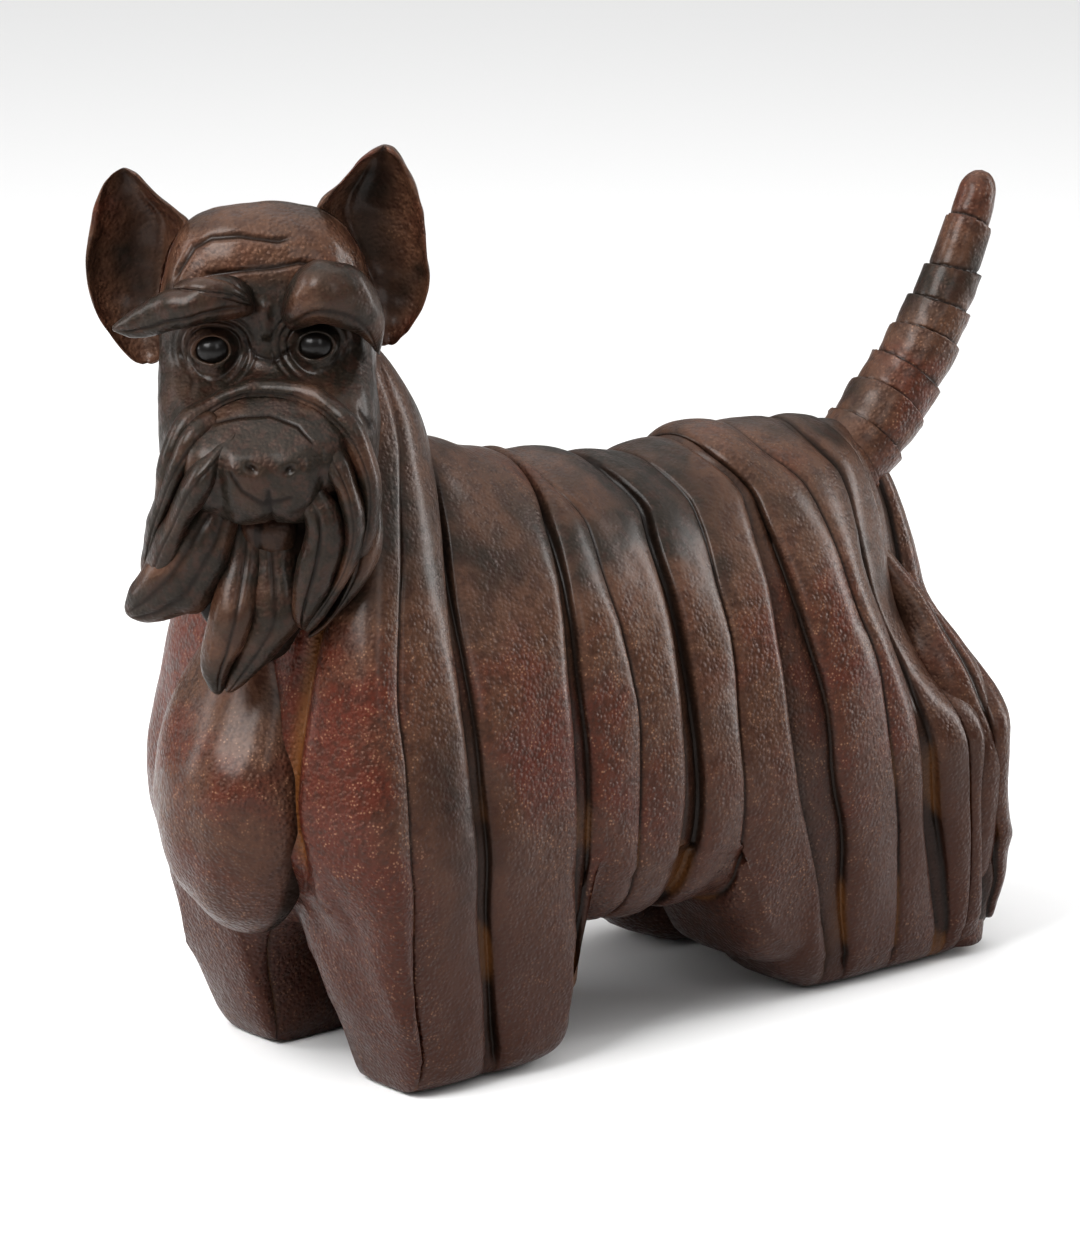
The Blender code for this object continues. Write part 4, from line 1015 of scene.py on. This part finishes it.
# Soft boxes: how far each is to the right, above and towards the camera, its reach in metres, its two
# sides and its power in watts
softBoxes = {
    "top_box": (-0.10, 1.0, -0.05, 2.1, (2.4, 2.0), 15.0),
    "key_box": (-0.62, 0.62, 0.75, 1.6, (1.0, 1.2), 40.0),
    "left_box": (-1.0, 0.32, 0.0, 1.5, (0.5, 0.9), 8.0),
    "rim_box": (1.0, 0.35, -0.35, 1.6, (0.4, 1.4), 17.0),
    "front_box": (0.45, 0.30, 1.0, 2.2, (0.7, 1.0), 7.0),
    "sky_box": (0.0, 1.0, 0.0, 5.0, (16.0, 16.0), 560.0),
}
lightAim = (0.0, 0.0, 0.15)  # the middle of the dog


def viewWays():
    # the camera's back, right and up directions
    azimuth, elevation = math.radians(cameraPlace["azimuth"]), math.radians(cameraPlace["elevation"])
    back = np.array([math.sin(azimuth) * math.cos(elevation), -math.cos(azimuth) * math.cos(elevation),
                     math.sin(elevation)])
    right = np.array([math.cos(azimuth), math.sin(azimuth), 0.0])
    return back, right, np.cross(back, right)


def softBox(name, side, rise, toward, reach, size, power):
    # a light at the aim plus reach times (side, rise, toward) along the camera's right, up and back,
    # turned to face the aim
    back, right, up = viewWays()
    way = side * right + rise * np.array([0.0, 0.0, 1.0]) + toward * back
    spot = np.array(lightAim) + reach * way
    data = bpy.data.lights.new(name, "AREA")
    data.shape = "RECTANGLE"
    data.size, data.size_y = size
    data.energy = power
    item = bpy.data.objects.new(name, data)
    item.location = spot
    item.rotation_euler = Vector(reach * way).to_track_quat("Z", "Y").to_euler()
    bpy.context.scene.collection.objects.link(item)


for name, spec in softBoxes.items():
    softBox(name, *spec)


def photoCamera():
    # stands back from its aim by its distance, with the lens that gives the photo's scale there
    back, right, up = viewWays()
    data = bpy.data.cameras.new("photo_camera")
    data.sensor_fit = "VERTICAL"
    data.sensor_height = cameraPlace["sensor"]
    data.lens = data.sensor_height * cameraPlace["distance"] / (cameraPlace["pitch"] * cameraPlace["height"])
    item = bpy.data.objects.new("photo_camera", data)
    item.location = np.array(cameraPlace["aim"]) + back * cameraPlace["distance"]
    item.rotation_euler = Matrix([right, up, back]).transposed().to_euler()
    bpy.context.scene.collection.objects.link(item)
    bpy.context.scene.camera = item


photoCamera()
print("floor, light and camera")

shownBox = [[float(v) for v in corner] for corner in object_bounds()]
json.dumps([cadBox, shownBox])
print("size", cadBox, shownBox)
